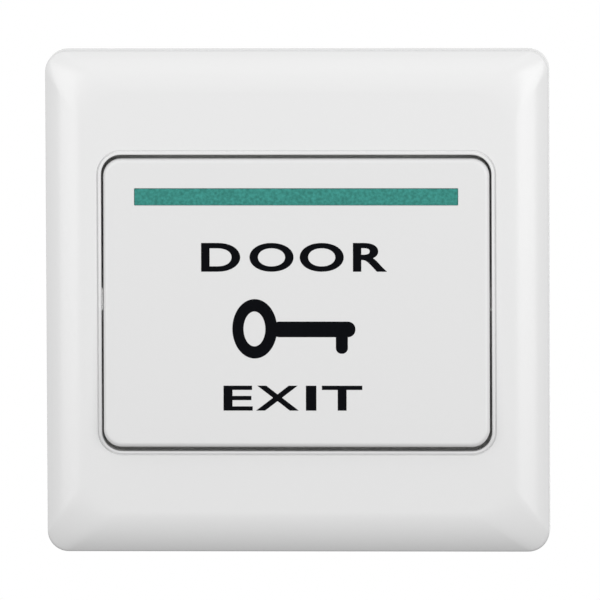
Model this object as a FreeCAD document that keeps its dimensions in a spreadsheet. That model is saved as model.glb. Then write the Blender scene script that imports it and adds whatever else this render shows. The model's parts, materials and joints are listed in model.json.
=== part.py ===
import FreeCAD, Part
import math
import os
import re

import Sketcher

# Door exit button for a square wall box: a snap-on front frame round a large hinged
# push plate, which presses a changeover switch carried behind the mounting plate.
#
# Every piece is drawn in the panel frame: X to the right, Y up, Z out of the wall, with
# the wall's surface at Z 0. The placements at the end stand the panel upright, so that
# the finished button faces -Y with +Z up. The push plate has a frame of its own, with
# its hinge axis at the origin.

# Sizes in millimetres and degrees
SIZES = {
    # Front frame
    "panel_side": 86.0,
    "panel_height": 8.2,
    "outline_radius": 3.6,
    "shoulder_width": 7.2,
    "shoulder_slope": 42.0,
    "face_corner_radius": 6.5,
    "shoulder_edge": 0.8,
    "frame_wall": 2.0,
    "side_margin": 9.65,
    "end_margin": 17.6,
    "opening_radius": 3.4,
    "rim_width": 0.5,
    "rim_rise": 0.25,
    "groove_width": 0.2,
    "groove_depth": 0.25,
    "collar_wall": 1.2,
    "collar_depth": 3.6,
    "rib_wall": 1.0,
    "rib_bite": 0.3,
    "side_rib_inset": 29.0,
    "end_rib_inset": 23.0,
    "pry_width": 10.0,
    "pry_height": 1.2,
    # Snap hooks of the frame
    "hook_inset": 21.0,
    "hook_width": 7.0,
    "hook_wall": 1.2,
    "hook_reach": 0.8,
    "hook_nose": 0.75,
    "hook_gap": 0.15,
    # Mounting plate
    "plate_inset": 4.0,
    "plate_thickness": 2.4,
    "plate_radius": 3.0,
    "ledge_thickness": 1.2,
    "screw_spacing": 60.3,
    "screw_slot_radius": 2.1,
    "screw_slot_length": 8.0,
    "seat_radius": 4.2,
    "seat_depth": 0.8,
    # Hinge of the push plate
    "hinge_inset": 5.9,
    "hinge_height": 5.4,
    "rest_tilt": 2.2,
    "pin_radius": 1.5,
    "pin_clearance": 0.05,
    "lug_radius": 2.2,
    "lug_width": 2.4,
    "lug_inset": 11.35,
    "ear_width": 2.2,
    "ear_gap": 1.0,
    "ear_wall": 1.1,
    "cradle_lip": 0.9,
    "pin_overhang": 0.5,
    # Push plate
    "side_gap": 0.38,
    "end_gap": 0.75,
    "rocker_depth": 4.0,
    "rocker_panel": 1.8,
    "rocker_wall": 1.6,
    "rocker_edge": 0.8,
    "rocker_rib_wall": 1.2,
    "rocker_rib_height": 1.2,
    "rocker_rib_spread": 22.0,
    "strip_inset": 5.37,
    "strip_width": 2.8,
    "strip_drop": 6.55,
    "strip_thickness": 0.6,
    "strip_gap": 0.06,
    "catch_spread": 20.0,
    "catch_width": 5.0,
    "catch_wall": 1.2,
    "catch_reach": 1.0,
    "catch_nose": 1.2,
    "catch_inset": 1.5,
    "catch_gap": 0.1,
    "catch_sway": 0.6,
    # Return spring of the push plate
    "spring_wire": 0.6,
    "spring_turns": 2.5,
    "spring_gap": 0.15,
    "spring_ease": 0.4,
    # Switch housing
    "housing_width": 40.0,
    "housing_height": 30.0,
    "housing_inset": 6.4,
    "housing_depth": 11.6,
    "housing_wall": 1.4,
    "cover_thickness": 1.4,
    "divider_wall": 1.6,
    "well_spacing": 12.0,
    "well_width": 8.6,
    "well_height": 8.8,
    "fixing_outset": 2.0,
    "fixing_radius": 3.2,
    "fixing_height": 3.6,
    # Switch plunger and its guide
    "contact_drop": 4.2,
    "plunger_radius": 2.5,
    "plunger_clearance": 0.06,
    "plunger_gap": 0.15,
    "flange_radius": 3.0,
    "flange_height": 1.0,
    "flange_gap": 0.1,
    "nose_radius": 1.2,
    "guide_wall": 1.7,
    "guide_height": 3.2,
    "guide_clearance": 0.2,
    "pusher_radius": 3.0,
    "pusher_height": 1.5,
    # Contacts and terminals
    "leaf_depth": 3.2,
    "leaf_thickness": 0.25,
    "leaf_width": 4.0,
    "leaf_overhang": 1.6,
    "leaf_gap": 0.05,
    "strip_metal": 0.8,
    "terminal_width": 5.0,
    "terminal_clearance": 0.1,
    "contact_radius": 1.5,
    "contact_height": 0.6,
    "moving_head": 0.4,
    "contact_travel": 1.3,
    "rivet_radius": 0.9,
    "rivet_head": 1.6,
    "clamp_side": 6.0,
    "clamp_thickness": 1.0,
    # Screws
    "clamp_screw_radius": 1.45,
    "clamp_head_radius": 2.7,
    "clamp_head_height": 1.65,
    "clamp_screw_bite": 1.1,
    "thread_clearance": 0.05,
    "drive_width": 0.8,
    "drive_depth": 0.7,
    "fixing_screw_radius": 1.45,
    "fixing_head_radius": 2.7,
    "fixing_head_height": 1.3,
    "fixing_screw_end": 5.4,
}

# The frame's shoulder and the small rounds are drawn in this many steps of their slope
SHOULDER_STEPS = 6
EDGE_STEPS = 3

# Sizes that follow the panel's side
PLATE_SIDE = "(panel_side - 2 * plate_inset)"
OPENING_WIDTH = "(panel_side - 2 * side_margin)"
OPENING_HEIGHT = "(panel_side - 2 * end_margin)"
HINGE_RISE = f"({OPENING_HEIGHT} / 2 - hinge_inset)"
LUG_X = f"({OPENING_WIDTH} / 2 - lug_inset)"
HOOK_X = "(panel_side / 2 - hook_inset)"

# Height of the push plate's face over its hinge axis, for a top edge flush with the rim
ROCKER_HEIGHT = f"({OPENING_HEIGHT} - 2 * end_gap)"
ROCKER_WIDTH = f"({OPENING_WIDTH} - 2 * side_gap)"
ROCKER_TOP = f"({ROCKER_HEIGHT} / 2 - {HINGE_RISE})"
FACE = f"(panel_height + rim_rise - hinge_height + {ROCKER_TOP} * sin(rest_tilt))"
UNDERSIDE = f"({FACE} - rocker_panel)"

# Levels of the contacts, behind the wall's surface
LEAF_TOP = "(0 - leaf_depth)"
LEAF_BASE = "(0 - leaf_depth - leaf_thickness)"
STRIP_BASE = f"({LEAF_BASE} - strip_metal)"
OPEN_CONTACT_TOP = f"({LEAF_BASE} - moving_head - contact_travel)"
OPEN_STRIP_TOP = f"({OPEN_CONTACT_TOP} - contact_height)"
CLOSED_STRIP_BASE = "(0 - cover_thickness - strip_metal)"
CLOSED_CONTACT_BASE = f"({LEAF_TOP} + moving_head + leaf_gap)"
CLOSED_CONTACT_HEIGHT = f"({CLOSED_STRIP_BASE} - {CLOSED_CONTACT_BASE})"
HOUSING_FLOOR = "(housing_wall - housing_depth)"

# Heights of the switch on the panel
HOUSING_BOTTOM = f"(housing_inset - {OPENING_HEIGHT} / 2)"
HOUSING_TOP = f"({HOUSING_BOTTOM} + housing_height)"
HOUSING_MIDDLE = f"({HOUSING_BOTTOM} + housing_height / 2)"
DIVIDER_BACK = f"({HOUSING_TOP} - housing_wall - well_height)"
DIVIDER_FRONT = f"({DIVIDER_BACK} - divider_wall)"
TERMINAL_Y = f"({DIVIDER_BACK} + well_height / 2)"
CONTACT_Y = f"({DIVIDER_FRONT} - contact_drop)"
FIXING_X = "(housing_width / 2 + fixing_outset)"

# The frame's shoulder: an arc from the flat face, with a small round at its outer edge
EDGE_INSET = "(shoulder_edge * (1 - sin(shoulder_slope)))"
SHOULDER_BEND = f"((shoulder_width - {EDGE_INSET}) / sin(shoulder_slope))"
SHOULDER_FOOT = f"(panel_height - {SHOULDER_BEND} * (1 - cos(shoulder_slope)))"
SIDE_TOP = f"({SHOULDER_FOOT} - shoulder_edge * cos(shoulder_slope))"

# Places on the push plate, in its own frame, and what they meet on the panel
STRIP_Y = f"({ROCKER_TOP} - strip_drop)"
PUSHER_Y = f"({CONTACT_Y} - {HINGE_RISE})"
PUSHER_BASE = f"({UNDERSIDE} - pusher_height)"
PLUNGER_TOP = f"(hinge_height + {PUSHER_BASE} - {PUSHER_Y} * sin(rest_tilt) - plunger_gap)"
CATCH_Y = f"({ROCKER_TOP} - {ROCKER_HEIGHT} + rocker_wall + catch_inset)"
CATCH_LEVEL = f"(0 - hinge_height - catch_gap + {CATCH_Y} * sin(rest_tilt))"
WINDOW_HEIGHT = "(catch_wall + 2 * catch_sway + catch_reach / 2)"
WINDOW_Y = f"({HINGE_RISE} + {CATCH_Y} + catch_wall / 2 + {CATCH_LEVEL} * sin(rest_tilt) / 2)"
GUIDE_RADIUS = "(plunger_radius + plunger_clearance + guide_wall)"
SPRING_INNER = f"({GUIDE_RADIUS} + spring_ease)"
SPRING_REACH = f"(0 - {PUSHER_Y} - {SPRING_INNER} - spring_wire)"
SPRING_ROOM = f"(hinge_height + {UNDERSIDE} + {SPRING_REACH} * sin(rest_tilt) - plate_thickness)"
FIXING_BORE = "(fixing_screw_radius + thread_clearance)"
RELIEF_SIDE = "(2 * (clamp_screw_radius + thread_clearance))"
RIVET_ROOM = "(2 * (rivet_head + thread_clearance))"

doc = FreeCAD.newDocument("door_exit_button")
sheet = doc.addObject("Spreadsheet::Sheet", "Sizes")
for row, (alias, number) in enumerate(SIZES.items(), start=1):
    sheet.set(f"A{row}", str(number))
    sheet.setAlias(f"A{row}", alias)
doc.recompute()


def bound(expression):
    """The expression with every size in it read from the sheet."""

    def cell(word):
        return f"Sizes.{word.group()}" if word.group() in SIZES else word.group()

    return re.sub(r"[a-z_]+", cell, expression)


def value(expression):
    """What the expression comes to."""
    return float(sheet.evalExpression(bound(expression)))


def bracketed(*expressions):
    """The expressions in brackets, to be used inside longer ones."""
    return tuple(f"({expression})" for expression in expressions)


def tie(thing, name, expression):
    """Bind one property of a document object to the sheet."""
    thing.setExpression(name, bound(expression))


def new_body(label):
    """An empty body with its own label."""
    body = doc.addObject("PartDesign::Body", label)
    body.Label = label
    body.AllowCompound = True
    return body


def origin_part(body, role):
    """One of a body's origin planes or axes."""
    return next(part for part in body.Origin.OriginFeatures if part.Role == role)


class Drawing:
    """A sketch on one of a body's origin planes, moved out along the plane's normal."""

    def __init__(self, body, name, plane="XY_Plane", level="0"):
        self.sketch = body.newObject("Sketcher::SketchObject", name)
        self.sketch.AttachmentSupport = [(origin_part(body, plane), "")]
        self.sketch.MapMode = "FlatFace"
        tie(self.sketch, "AttachmentOffset.Base.z", level)

    def set_size(self, constraint, expression):
        """Add a driving constraint that follows the sheet."""
        index = self.sketch.addConstraint(constraint)
        tie(self.sketch, f"Constraints[{index}]", expression)

    def pin(self, geometry, point, x, y):
        """Hold one point of the geometry at (x, y)."""
        for kind, place in (("DistanceX", x), ("DistanceY", y)):
            constraint = Sketcher.Constraint(kind, -1, 1, geometry, point, value(place))
            self.set_size(constraint, place)

    def add_arc(self, x, y, radius, start):
        """A quarter turn counter-clockwise from the start angle in degrees."""
        circle = Part.Circle(FreeCAD.Vector(x, y, 0), FreeCAD.Vector(0, 0, 1), radius)
        low, high = math.radians(start), math.radians(start + 90)
        return self.sketch.addGeometry(Part.ArcOfCircle(circle, low, high), False)

    def add_line(self, start, end):
        """A straight line between two points."""
        line = Part.LineSegment(FreeCAD.Vector(*start, 0), FreeCAD.Vector(*end, 0))
        return self.sketch.addGeometry(line, False)

    def circle(self, x, y, radius):
        """A full circle."""
        x, y, radius = bracketed(x, y, radius)
        centre = FreeCAD.Vector(value(x), value(y), 0)
        circle = Part.Circle(centre, FreeCAD.Vector(0, 0, 1), value(radius))
        geometry = self.sketch.addGeometry(circle, False)
        radial = Sketcher.Constraint("Radius", geometry, value(radius))
        self.set_size(radial, radius)
        self.pin(geometry, 3, x, y)
        return self

    def polygon(self, *points):
        """A closed outline with straight sides through the points."""
        places = [(value(x), value(y)) for x, y in points]
        lines = []
        for index, place in enumerate(places):
            lines.append(self.add_line(place, places[(index + 1) % len(places)]))
        for index, line in enumerate(lines):
            following = lines[(index + 1) % len(lines)]
            joint = Sketcher.Constraint("Coincident", line, 2, following, 1)
            self.sketch.addConstraint(joint)
            self.pin(line, 1, *points[index])
        return self

    def rectangle(self, x, y, width, height):
        """A rectangle about the point (x, y)."""
        x, y, width, height = bracketed(x, y, width, height)
        left, right = f"{x} - {width} / 2", f"{x} + {width} / 2"
        low, high = f"{y} - {height} / 2", f"{y} + {height} / 2"
        return self.polygon((left, low), (right, low), (right, high), (left, high))

    def rounded(self, x, y, width, height, radius):
        """A rectangle about the point (x, y) with round corners."""
        x, y, width, height, radius = bracketed(x, y, width, height, radius)
        reach_x, reach_y = f"({width} / 2 - {radius})", f"({height} / 2 - {radius})"
        turn = value(radius)
        arcs = []
        for side, rise, start in ((1, -1, 270), (1, 1, 0), (-1, 1, 90), (-1, -1, 180)):
            centre_x = value(x) + side * value(reach_x)
            centre_y = value(y) + rise * value(reach_y)
            arcs.append(self.add_arc(centre_x, centre_y, turn, start))
        for index, arc in enumerate(arcs):
            following = arcs[(index + 1) % 4]
            ends = (self.end_of(arc, 2), self.end_of(following, 1))
            line = self.add_line(*ends)
            upright = "Vertical" if index % 2 == 0 else "Horizontal"
            self.sketch.addConstraint(Sketcher.Constraint("Tangent", arc, 2, line, 1))
            joint = Sketcher.Constraint("Tangent", line, 2, following, 1)
            self.sketch.addConstraint(joint)
            self.sketch.addConstraint(Sketcher.Constraint(upright, line))
        for arc in arcs[1:]:
            self.sketch.addConstraint(Sketcher.Constraint("Equal", arcs[0], arc))
        self.set_size(Sketcher.Constraint("Radius", arcs[0], turn), radius)
        self.pin(arcs[1], 3, f"{x} + {reach_x}", f"{y} + {reach_y}")
        self.pin(arcs[3], 3, f"{x} - {reach_x}", f"{y} - {reach_y}")
        return self

    def slot(self, x, y, length, radius):
        """A level slot with round ends about the point (x, y)."""
        x, y, length, radius = bracketed(x, y, length, radius)
        reach = f"({length} / 2 - {radius})"
        middle_x, middle_y, half = value(x), value(y), value(reach)
        arcs = []
        for side, start in ((1, -90), (-1, 90)):
            centre = FreeCAD.Vector(middle_x + side * half, middle_y, 0)
            circle = Part.Circle(centre, FreeCAD.Vector(0, 0, 1), value(radius))
            low, high = math.radians(start), math.radians(start + 180)
            arc = Part.ArcOfCircle(circle, low, high)
            arcs.append(self.sketch.addGeometry(arc, False))
        for arc, following in (arcs, arcs[::-1]):
            line = self.add_line(self.end_of(arc, 2), self.end_of(following, 1))
            self.sketch.addConstraint(Sketcher.Constraint("Tangent", arc, 2, line, 1))
            joint = Sketcher.Constraint("Tangent", line, 2, following, 1)
            self.sketch.addConstraint(joint)
        self.set_size(Sketcher.Constraint("Radius", arcs[0], value(radius)), radius)
        self.pin(arcs[0], 3, f"{x} + {reach}", y)
        self.pin(arcs[1], 3, f"{x} - {reach}", y)
        return self

    def end_of(self, geometry, point):
        """The place of a geometry's end, as two numbers."""
        place = self.sketch.getPoint(geometry, point)
        return place.x, place.y


def finish(body, feature, grows):
    """Make the feature the body's last one, and see that it did add or remove something."""
    before = 0.0 if body.Shape.isNull() else body.Shape.Volume
    body.Tip = feature
    doc.recompute()
    change = feature.Shape.Volume - before
    if (change > 0) != grows or abs(change) < 1e-6:
        raise RuntimeError(f"{body.Label} {feature.Name} changes the volume by {change}")
    return feature


def pad(body, name, drawing, length, midplane=False):
    """Extrude a drawing outwards along its normal, or both ways."""
    feature = body.newObject("PartDesign::Pad", name)
    feature.Profile = drawing.sketch
    feature.Midplane = midplane
    tie(feature, "Length", length)
    return finish(body, feature, True)


def pocket(body, name, drawing, depth, midplane=False, up=False):
    """Cut a drawing into the body against its normal, or both ways, or along it."""
    feature = body.newObject("PartDesign::Pocket", name)
    feature.Profile = drawing.sketch
    feature.Midplane = midplane
    feature.Reversed = up
    tie(feature, "Length", depth)
    return finish(body, feature, False)


def loft(body, name, drawings, cut=False):
    """Run straight strips from drawing to drawing, and add or remove what they hold."""
    kind = "PartDesign::SubtractiveLoft" if cut else "PartDesign::AdditiveLoft"
    feature = body.newObject(kind, name)
    feature.Profile = drawings[0].sketch
    feature.Sections = [drawing.sketch for drawing in drawings[1:]]
    feature.Ruled = True
    return finish(body, feature, not cut)


def mirror(body, name, features, plane, grows=True):
    """Repeat features on the far side of an origin plane."""
    feature = body.newObject("PartDesign::Mirrored", name)
    feature.Originals = features
    feature.MirrorPlane = (origin_part(body, plane), [""])
    return finish(body, feature, grows)


def copies(body, name, features, axis, length, count):
    """Repeat features in a row along an origin axis, spread over the length."""
    feature = body.newObject("PartDesign::LinearPattern", name)
    feature.Originals = features
    feature.Direction = (origin_part(body, axis), [""])
    feature.Occurrences = count
    tie(feature, "Length", length)
    return finish(body, feature, True)


def on_panel(body):
    """Stand a piece up, as drawn in the panel frame."""
    body.Placement = FreeCAD.Placement(
        FreeCAD.Vector(0, 0, 0), FreeCAD.Rotation(FreeCAD.Vector(1, 0, 0), 90)
    )
    return body


def on_rocker(body):
    """Hang a piece on the hinge axis, at the push plate's tilt at rest."""
    on_panel(body)
    tie(body, "Placement.Rotation.Angle", "90 - rest_tilt")
    tie(body, "Placement.Base.y", "0 - hinge_height")
    tie(body, "Placement.Base.z", HINGE_RISE)
    return body


def shoulder_section(body, name, share, wall="0"):
    """One level of the frame's curved shoulder, or of the hollow a wall inside it."""
    angle = f"(shoulder_slope * {share})"
    inset = f"({EDGE_INSET} + {SHOULDER_BEND} * (sin(shoulder_slope) - sin({angle})))"
    level = f"panel_height - {SHOULDER_BEND} * (1 - cos({angle})) - {wall} * cos({angle})"
    side = f"(panel_side - 2 * {inset} - 2 * {wall} * sin({angle}))"
    growth = f"(face_corner_radius - outline_radius) * {inset} / shoulder_width"
    radius = f"(outline_radius + {growth} - {wall} * sin({angle}))"
    return Drawing(body, name, level=level).rounded("0", "0", side, side, radius)


def edge_section(body, name, share):
    """One level of the small round between the frame's side and its shoulder."""
    angle = f"(90 - (90 - shoulder_slope) * {share})"
    inset = f"(shoulder_edge * (1 - sin({angle})))"
    level = f"{SIDE_TOP} + shoulder_edge * cos({angle})"
    side = f"(panel_side - 2 * {inset})"
    growth = f"(face_corner_radius - outline_radius) * {inset} / shoulder_width"
    radius = f"(outline_radius + {growth})"
    return Drawing(body, name, level=level).rounded("0", "0", side, side, radius)


def opening_ring(body, name, level, inner, outer):
    """A ring round the frame's opening, between two distances from its edge."""
    drawing = Drawing(body, name, level=level)
    for offset in (inner, outer):
        width = f"({OPENING_WIDTH} + 2 * {offset})"
        height = f"({OPENING_HEIGHT} + 2 * {offset})"
        drawing.rounded("0", "0", width, height, f"(opening_radius + {offset})")
    return drawing


def frame_ribs(body):
    """Thin ribs inside the frame that seat it on the mounting plate."""
    top = "(panel_height - frame_wall + rib_bite)"
    drawing = Drawing(body, "RibPlan", level="plate_thickness")
    hollow = "(panel_side / 2 - frame_wall + rib_bite)"
    side_foot = f"({OPENING_WIDTH} / 2 + collar_wall / 2)"
    end_foot = f"({OPENING_HEIGHT} / 2 + collar_wall / 2)"
    for sign in ("1", "-1"):
        along = f"({sign} * (panel_side / 2 - side_rib_inset))"
        across = f"({sign} * (panel_side / 2 - end_rib_inset))"
        for side in ("1", "-1"):
            middle = f"({side} * ({hollow} + {side_foot}) / 2)"
            length = f"({hollow} - {side_foot})"
            drawing.rectangle(middle, along, length, "rib_wall")
            middle = f"({side} * ({hollow} + {end_foot}) / 2)"
            length = f"({hollow} - {end_foot})"
            drawing.rectangle(across, middle, "rib_wall", length)
    pad(body, "Ribs", drawing, f"{top} - plate_thickness")


def frame_hooks(body):
    """Four snap hooks that hold the frame by the mounting plate's edges."""
    inner = f"({PLATE_SIDE} / 2 + hook_gap)"
    outer = f"({inner} + hook_wall)"
    tip = f"({inner} - hook_reach)"
    foot = "hook_gap"
    catch = "(ledge_thickness - hook_gap)"
    nose = f"({foot} + ({catch} - {foot}) * hook_nose)"
    root = "(panel_height - frame_wall)"
    side = (
        (inner, root),
        (inner, catch),
        (tip, catch),
        (tip, nose),
        (inner, foot),
        (outer, foot),
        (outer, root),
    )
    hooks = []
    for name, rise in (("Upper", "1"), ("Lower", "-1")):
        drawing = Drawing(body, f"{name}HookSide", "YZ_Plane", HOOK_X)
        drawing.polygon(*[(f"{rise} * {y}", z) for y, z in side])
        hooks.append(pad(body, f"{name}Hook", drawing, "hook_width", midplane=True))
    mirror(body, "LeftHooks", hooks, "YZ_Plane")


def front_frame():
    """Square frame with a curved shoulder, hollow behind, with a collar round its opening."""
    body = new_body("front_frame")
    outline = Drawing(body, "Outline")
    outline.rounded("0", "0", "panel_side", "panel_side", "outline_radius")
    pad(body, "SideWall", outline, SIDE_TOP)
    shares = [step / SHOULDER_STEPS for step in range(SHOULDER_STEPS + 1)]
    edge_shares = [step / EDGE_STEPS for step in range(EDGE_STEPS + 1)]
    edge = [edge_section(body, f"Edge{share:.2f}", share) for share in edge_shares]
    loft(body, "ShoulderEdge", edge)
    shoulder = [shoulder_section(body, f"Shoulder{share:.2f}", 1 - share) for share in shares]
    loft(body, "Shoulder", shoulder)

    inner_side = "(panel_side - 2 * frame_wall)"
    inside = Drawing(body, "InsidePlan")
    inside.rounded("0", "0", inner_side, inner_side, "outline_radius - frame_wall")
    first = f"(shoulder_slope * {shares[-3]})"
    drop = f"({SHOULDER_BEND} * (1 - cos({first})))"
    pocket(body, "Inside", inside, f"(panel_height - {drop} - frame_wall * cos({first}))", up=True)
    hollow = [
        shoulder_section(body, f"Hollow{share:.2f}", 1 - share, "frame_wall")
        for share in shares[2::2]
    ]
    loft(body, "InsideRoof", hollow, cut=True)

    collar = opening_ring(body, "CollarPlan", "panel_height - collar_depth", "0", "collar_wall")
    pad(body, "Collar", collar, "collar_depth")
    opening = Drawing(body, "OpeningPlan", level="panel_height")
    opening.rounded("0", "0", OPENING_WIDTH, OPENING_HEIGHT, "opening_radius")
    pocket(body, "Opening", opening, "frame_wall + rib_bite")
    rim = opening_ring(body, "RimPlan", "panel_height", "0", "rim_width")
    pad(body, "Rim", rim, "rim_rise")
    groove = opening_ring(body, "GroovePlan", "panel_height", "rim_width", "(rim_width + groove_width)")
    pocket(body, "ShadowGroove", groove, "groove_depth")
    frame_ribs(body)
    frame_hooks(body)
    pry = Drawing(body, "PryPlan")
    pry.rectangle("0", "(frame_wall / 2 - panel_side / 2)", "pry_width", "(2 * frame_wall)")
    pocket(body, "PryNotch", pry, "pry_height", up=True)
    return on_panel(body)


def hinge_ears(body):
    """Two open cradles that the push plate's pins snap into."""
    middle = f"({LUG_X} + lug_width / 2 + ear_gap + ear_width / 2)"
    bore = "(pin_radius + pin_clearance)"
    reach = f"({bore} + ear_wall)"
    ear = Drawing(body, "EarSide", "YZ_Plane", middle)
    foot, top = "(plate_thickness / 2)", "(hinge_height + cradle_lip)"
    middle_rise = f"(({foot} + {top}) / 2)"
    ear.rectangle(HINGE_RISE, middle_rise, f"(2 * {reach})", f"({top} - {foot})")
    right = pad(body, "Ear", ear, "ear_width", midplane=True)
    seat = Drawing(body, "CradleSide", "YZ_Plane", middle)
    seat.circle(HINGE_RISE, "hinge_height", bore)
    cradle = pocket(body, "Cradle", seat, "ear_width", midplane=True)
    mirror(body, "EarLeft", [right, cradle], "YZ_Plane")


def mounting_plate():
    """Plate that is screwed to the wall box and carries the hinge, springs and switch."""
    body = new_body("mounting_plate")
    outline = Drawing(body, "Outline")
    outline.rounded("0", "0", PLATE_SIDE, PLATE_SIDE, "plate_radius")
    pad(body, "Plate", outline, "plate_thickness")
    hinge_ears(body)

    seats = Drawing(body, "SeatPlan", level="plate_thickness")
    slots = Drawing(body, "SlotPlan", level="plate_thickness")
    bores = Drawing(body, "FixingPlan", level="plate_thickness")
    sinks = Drawing(body, "SinkPlan", level="plate_thickness")
    windows = Drawing(body, "CatchPlan", level="plate_thickness")
    for side in ("1", "-1"):
        screw_x = f"{side} * screw_spacing / 2"
        seat_length = "(screw_slot_length + 2 * (seat_radius - screw_slot_radius))"
        seats.slot(screw_x, "0", seat_length, "seat_radius")
        slots.slot(screw_x, "0", "screw_slot_length", "screw_slot_radius")
        bores.circle(f"{side} * {FIXING_X}", HOUSING_MIDDLE, FIXING_BORE)
        sinks.circle(f"{side} * {FIXING_X}", HOUSING_MIDDLE, "fixing_head_radius + thread_clearance")
        window_width = "(catch_width + 2 * catch_sway)"
        windows.rectangle(f"{side} * catch_spread / 2", WINDOW_Y, window_width, WINDOW_HEIGHT)
    pocket(body, "ScrewSeats", seats, "seat_depth")
    pocket(body, "ScrewSlots", slots, "plate_thickness")
    pocket(body, "CatchWindows", windows, "plate_thickness")
    guide = Drawing(body, "GuidePlan", level="plate_thickness")
    guide.circle("0", CONTACT_Y, f"({GUIDE_RADIUS} + guide_clearance)")
    pocket(body, "GuideHole", guide, "plate_thickness")
    pocket(body, "FixingHoles", bores, "plate_thickness")
    pocket(body, "HeadSinks", sinks, "fixing_head_height")
    ledges = Drawing(body, "LedgePlan")
    for side in ("1", "-1"):
        for rise in ("1", "-1"):
            ledges.rectangle(
                f"({side} * {HOOK_X})",
                f"({rise} * {PLATE_SIDE} / 2)",
                "(hook_width + 4 * hook_gap)",
                "(2 * (hook_reach + hook_gap))",
            )
    pocket(body, "HookLedges", ledges, "ledge_thickness", up=True)
    return on_panel(body)


def rocker_button():
    """Large push plate with a skirt, hinge lugs, ribs, a pusher boss and two catches."""
    body = new_body("rocker_button")
    skirt = f"({FACE} - rocker_depth)"
    centre = f"(0 - {HINGE_RISE})"
    radius = "(opening_radius - side_gap)"
    outline = Drawing(body, "Outline", level=skirt)
    outline.rounded("0", centre, ROCKER_WIDTH, ROCKER_HEIGHT, radius)
    pad(body, "Block", outline, "rocker_depth - rocker_edge")
    edge = []
    for step in range(EDGE_STEPS + 1):
        angle = f"(90 * {step / EDGE_STEPS})"
        inset = f"(rocker_edge * (1 - cos({angle})))"
        level = f"{FACE} - rocker_edge * (1 - sin({angle}))"
        width, height = f"{ROCKER_WIDTH} - 2 * {inset}", f"{ROCKER_HEIGHT} - 2 * {inset}"
        section = Drawing(body, f"Edge{step}", level=level)
        edge.append(section.rounded("0", centre, width, height, f"{radius} - {inset}"))
    loft(body, "FaceEdge", edge)
    inside = Drawing(body, "InsidePlan", level=skirt)
    inner_width = f"({ROCKER_WIDTH} - 2 * rocker_wall)"
    inner_height = f"({ROCKER_HEIGHT} - 2 * rocker_wall)"
    inside.rounded("0", centre, inner_width, inner_height, f"({radius} - rocker_wall)")
    pocket(body, "Inside", inside, "rocker_depth - rocker_panel", up=True)
    recess = Drawing(body, "StripRecess", level=FACE)
    recess_length = f"({ROCKER_WIDTH} - 2 * strip_inset + 2 * strip_gap)"
    recess.rectangle("0", STRIP_Y, recess_length, "(strip_width + 2 * strip_gap)")
    pocket(body, "Recess", recess, "strip_thickness")

    bite = "(rocker_panel / 3)"
    root = f"({UNDERSIDE} + {bite})"
    ribs = Drawing(body, "RibPlan", level=f"{UNDERSIDE} - rocker_rib_height")
    for side in ("1", "-1"):
        rib_x = f"{side} * rocker_rib_spread / 2"
        ribs.rectangle(rib_x, centre, "rocker_rib_wall", f"{inner_height} + {bite}")
    pad(body, "Ribs", ribs, f"rocker_rib_height + {bite}")

    lug = Drawing(body, "LugSide", "YZ_Plane", LUG_X)
    lug.rectangle("0", f"({root} / 2)", "(2 * lug_radius)", root)
    arm = pad(body, "LugArm", lug, "lug_width", midplane=True)
    end = Drawing(body, "LugEndSide", "YZ_Plane", LUG_X)
    end.circle("0", "0", "lug_radius")
    knuckle = pad(body, "LugEnd", end, "lug_width", midplane=True)
    pin_drawing = Drawing(body, "PinSide", "YZ_Plane", LUG_X)
    pin_drawing.circle("0", "0", "pin_radius")
    pin_length = "lug_width / 2 + ear_gap + ear_width + pin_overhang"
    hinge_pin = pad(body, "HingePin", pin_drawing, pin_length)
    mirror(body, "HingeLeft", [arm, knuckle, hinge_pin], "YZ_Plane")

    pusher = Drawing(body, "PusherPlan", level=f"{UNDERSIDE} - pusher_height")
    pusher.circle("0", PUSHER_Y, "pusher_radius")
    pad(body, "Pusher", pusher, f"pusher_height + {bite}")

    tip = f"({CATCH_Y} - catch_reach)"
    catch = Drawing(body, "CatchSide", "YZ_Plane", "catch_spread / 2")
    back = f"({CATCH_Y} + catch_wall)"
    catch.polygon(
        (CATCH_Y, root),
        (CATCH_Y, CATCH_LEVEL),
        (tip, CATCH_LEVEL),
        (CATCH_Y, f"({CATCH_LEVEL} - catch_nose)"),
        (back, f"({CATCH_LEVEL} - catch_nose)"),
        (back, root),
    )
    hook = pad(body, "Catch", catch, "catch_width", midplane=True)
    mirror(body, "CatchLeft", [hook], "YZ_Plane")
    return on_rocker(body)


def glow_strip():
    """Green strip let into the push plate's face."""
    body = new_body("glow_strip")
    outline = Drawing(body, "Outline", level=f"{FACE} - strip_thickness")
    outline.rectangle("0", STRIP_Y, f"{ROCKER_WIDTH} - 2 * strip_inset", "strip_width")
    pad(body, "Strip", outline, "strip_thickness")
    return on_rocker(body)


def return_spring():
    """Coil of square wire round the plunger's guide, which lifts the push plate."""
    body = new_body("return_spring")
    wire = Drawing(body, "Wire", "XZ_Plane")
    middle = "spring_wire / 2"
    wire.rectangle(f"{SPRING_INNER} + {middle}", middle, "spring_wire", "spring_wire")
    feature = body.newObject("PartDesign::AdditiveHelix", "Coils")
    feature.Profile = wire.sketch
    feature.ReferenceAxis = (wire.sketch, ["V_Axis"])
    feature.Mode = "height-turns-angle"
    tie(feature, "Height", f"{SPRING_ROOM} - spring_wire - spring_gap")
    tie(feature, "Turns", "spring_turns")
    finish(body, feature, True)
    on_panel(body)
    tie(body, "Placement.Base.y", "0 - plate_thickness")
    tie(body, "Placement.Base.z", CONTACT_Y)
    return body


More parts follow.
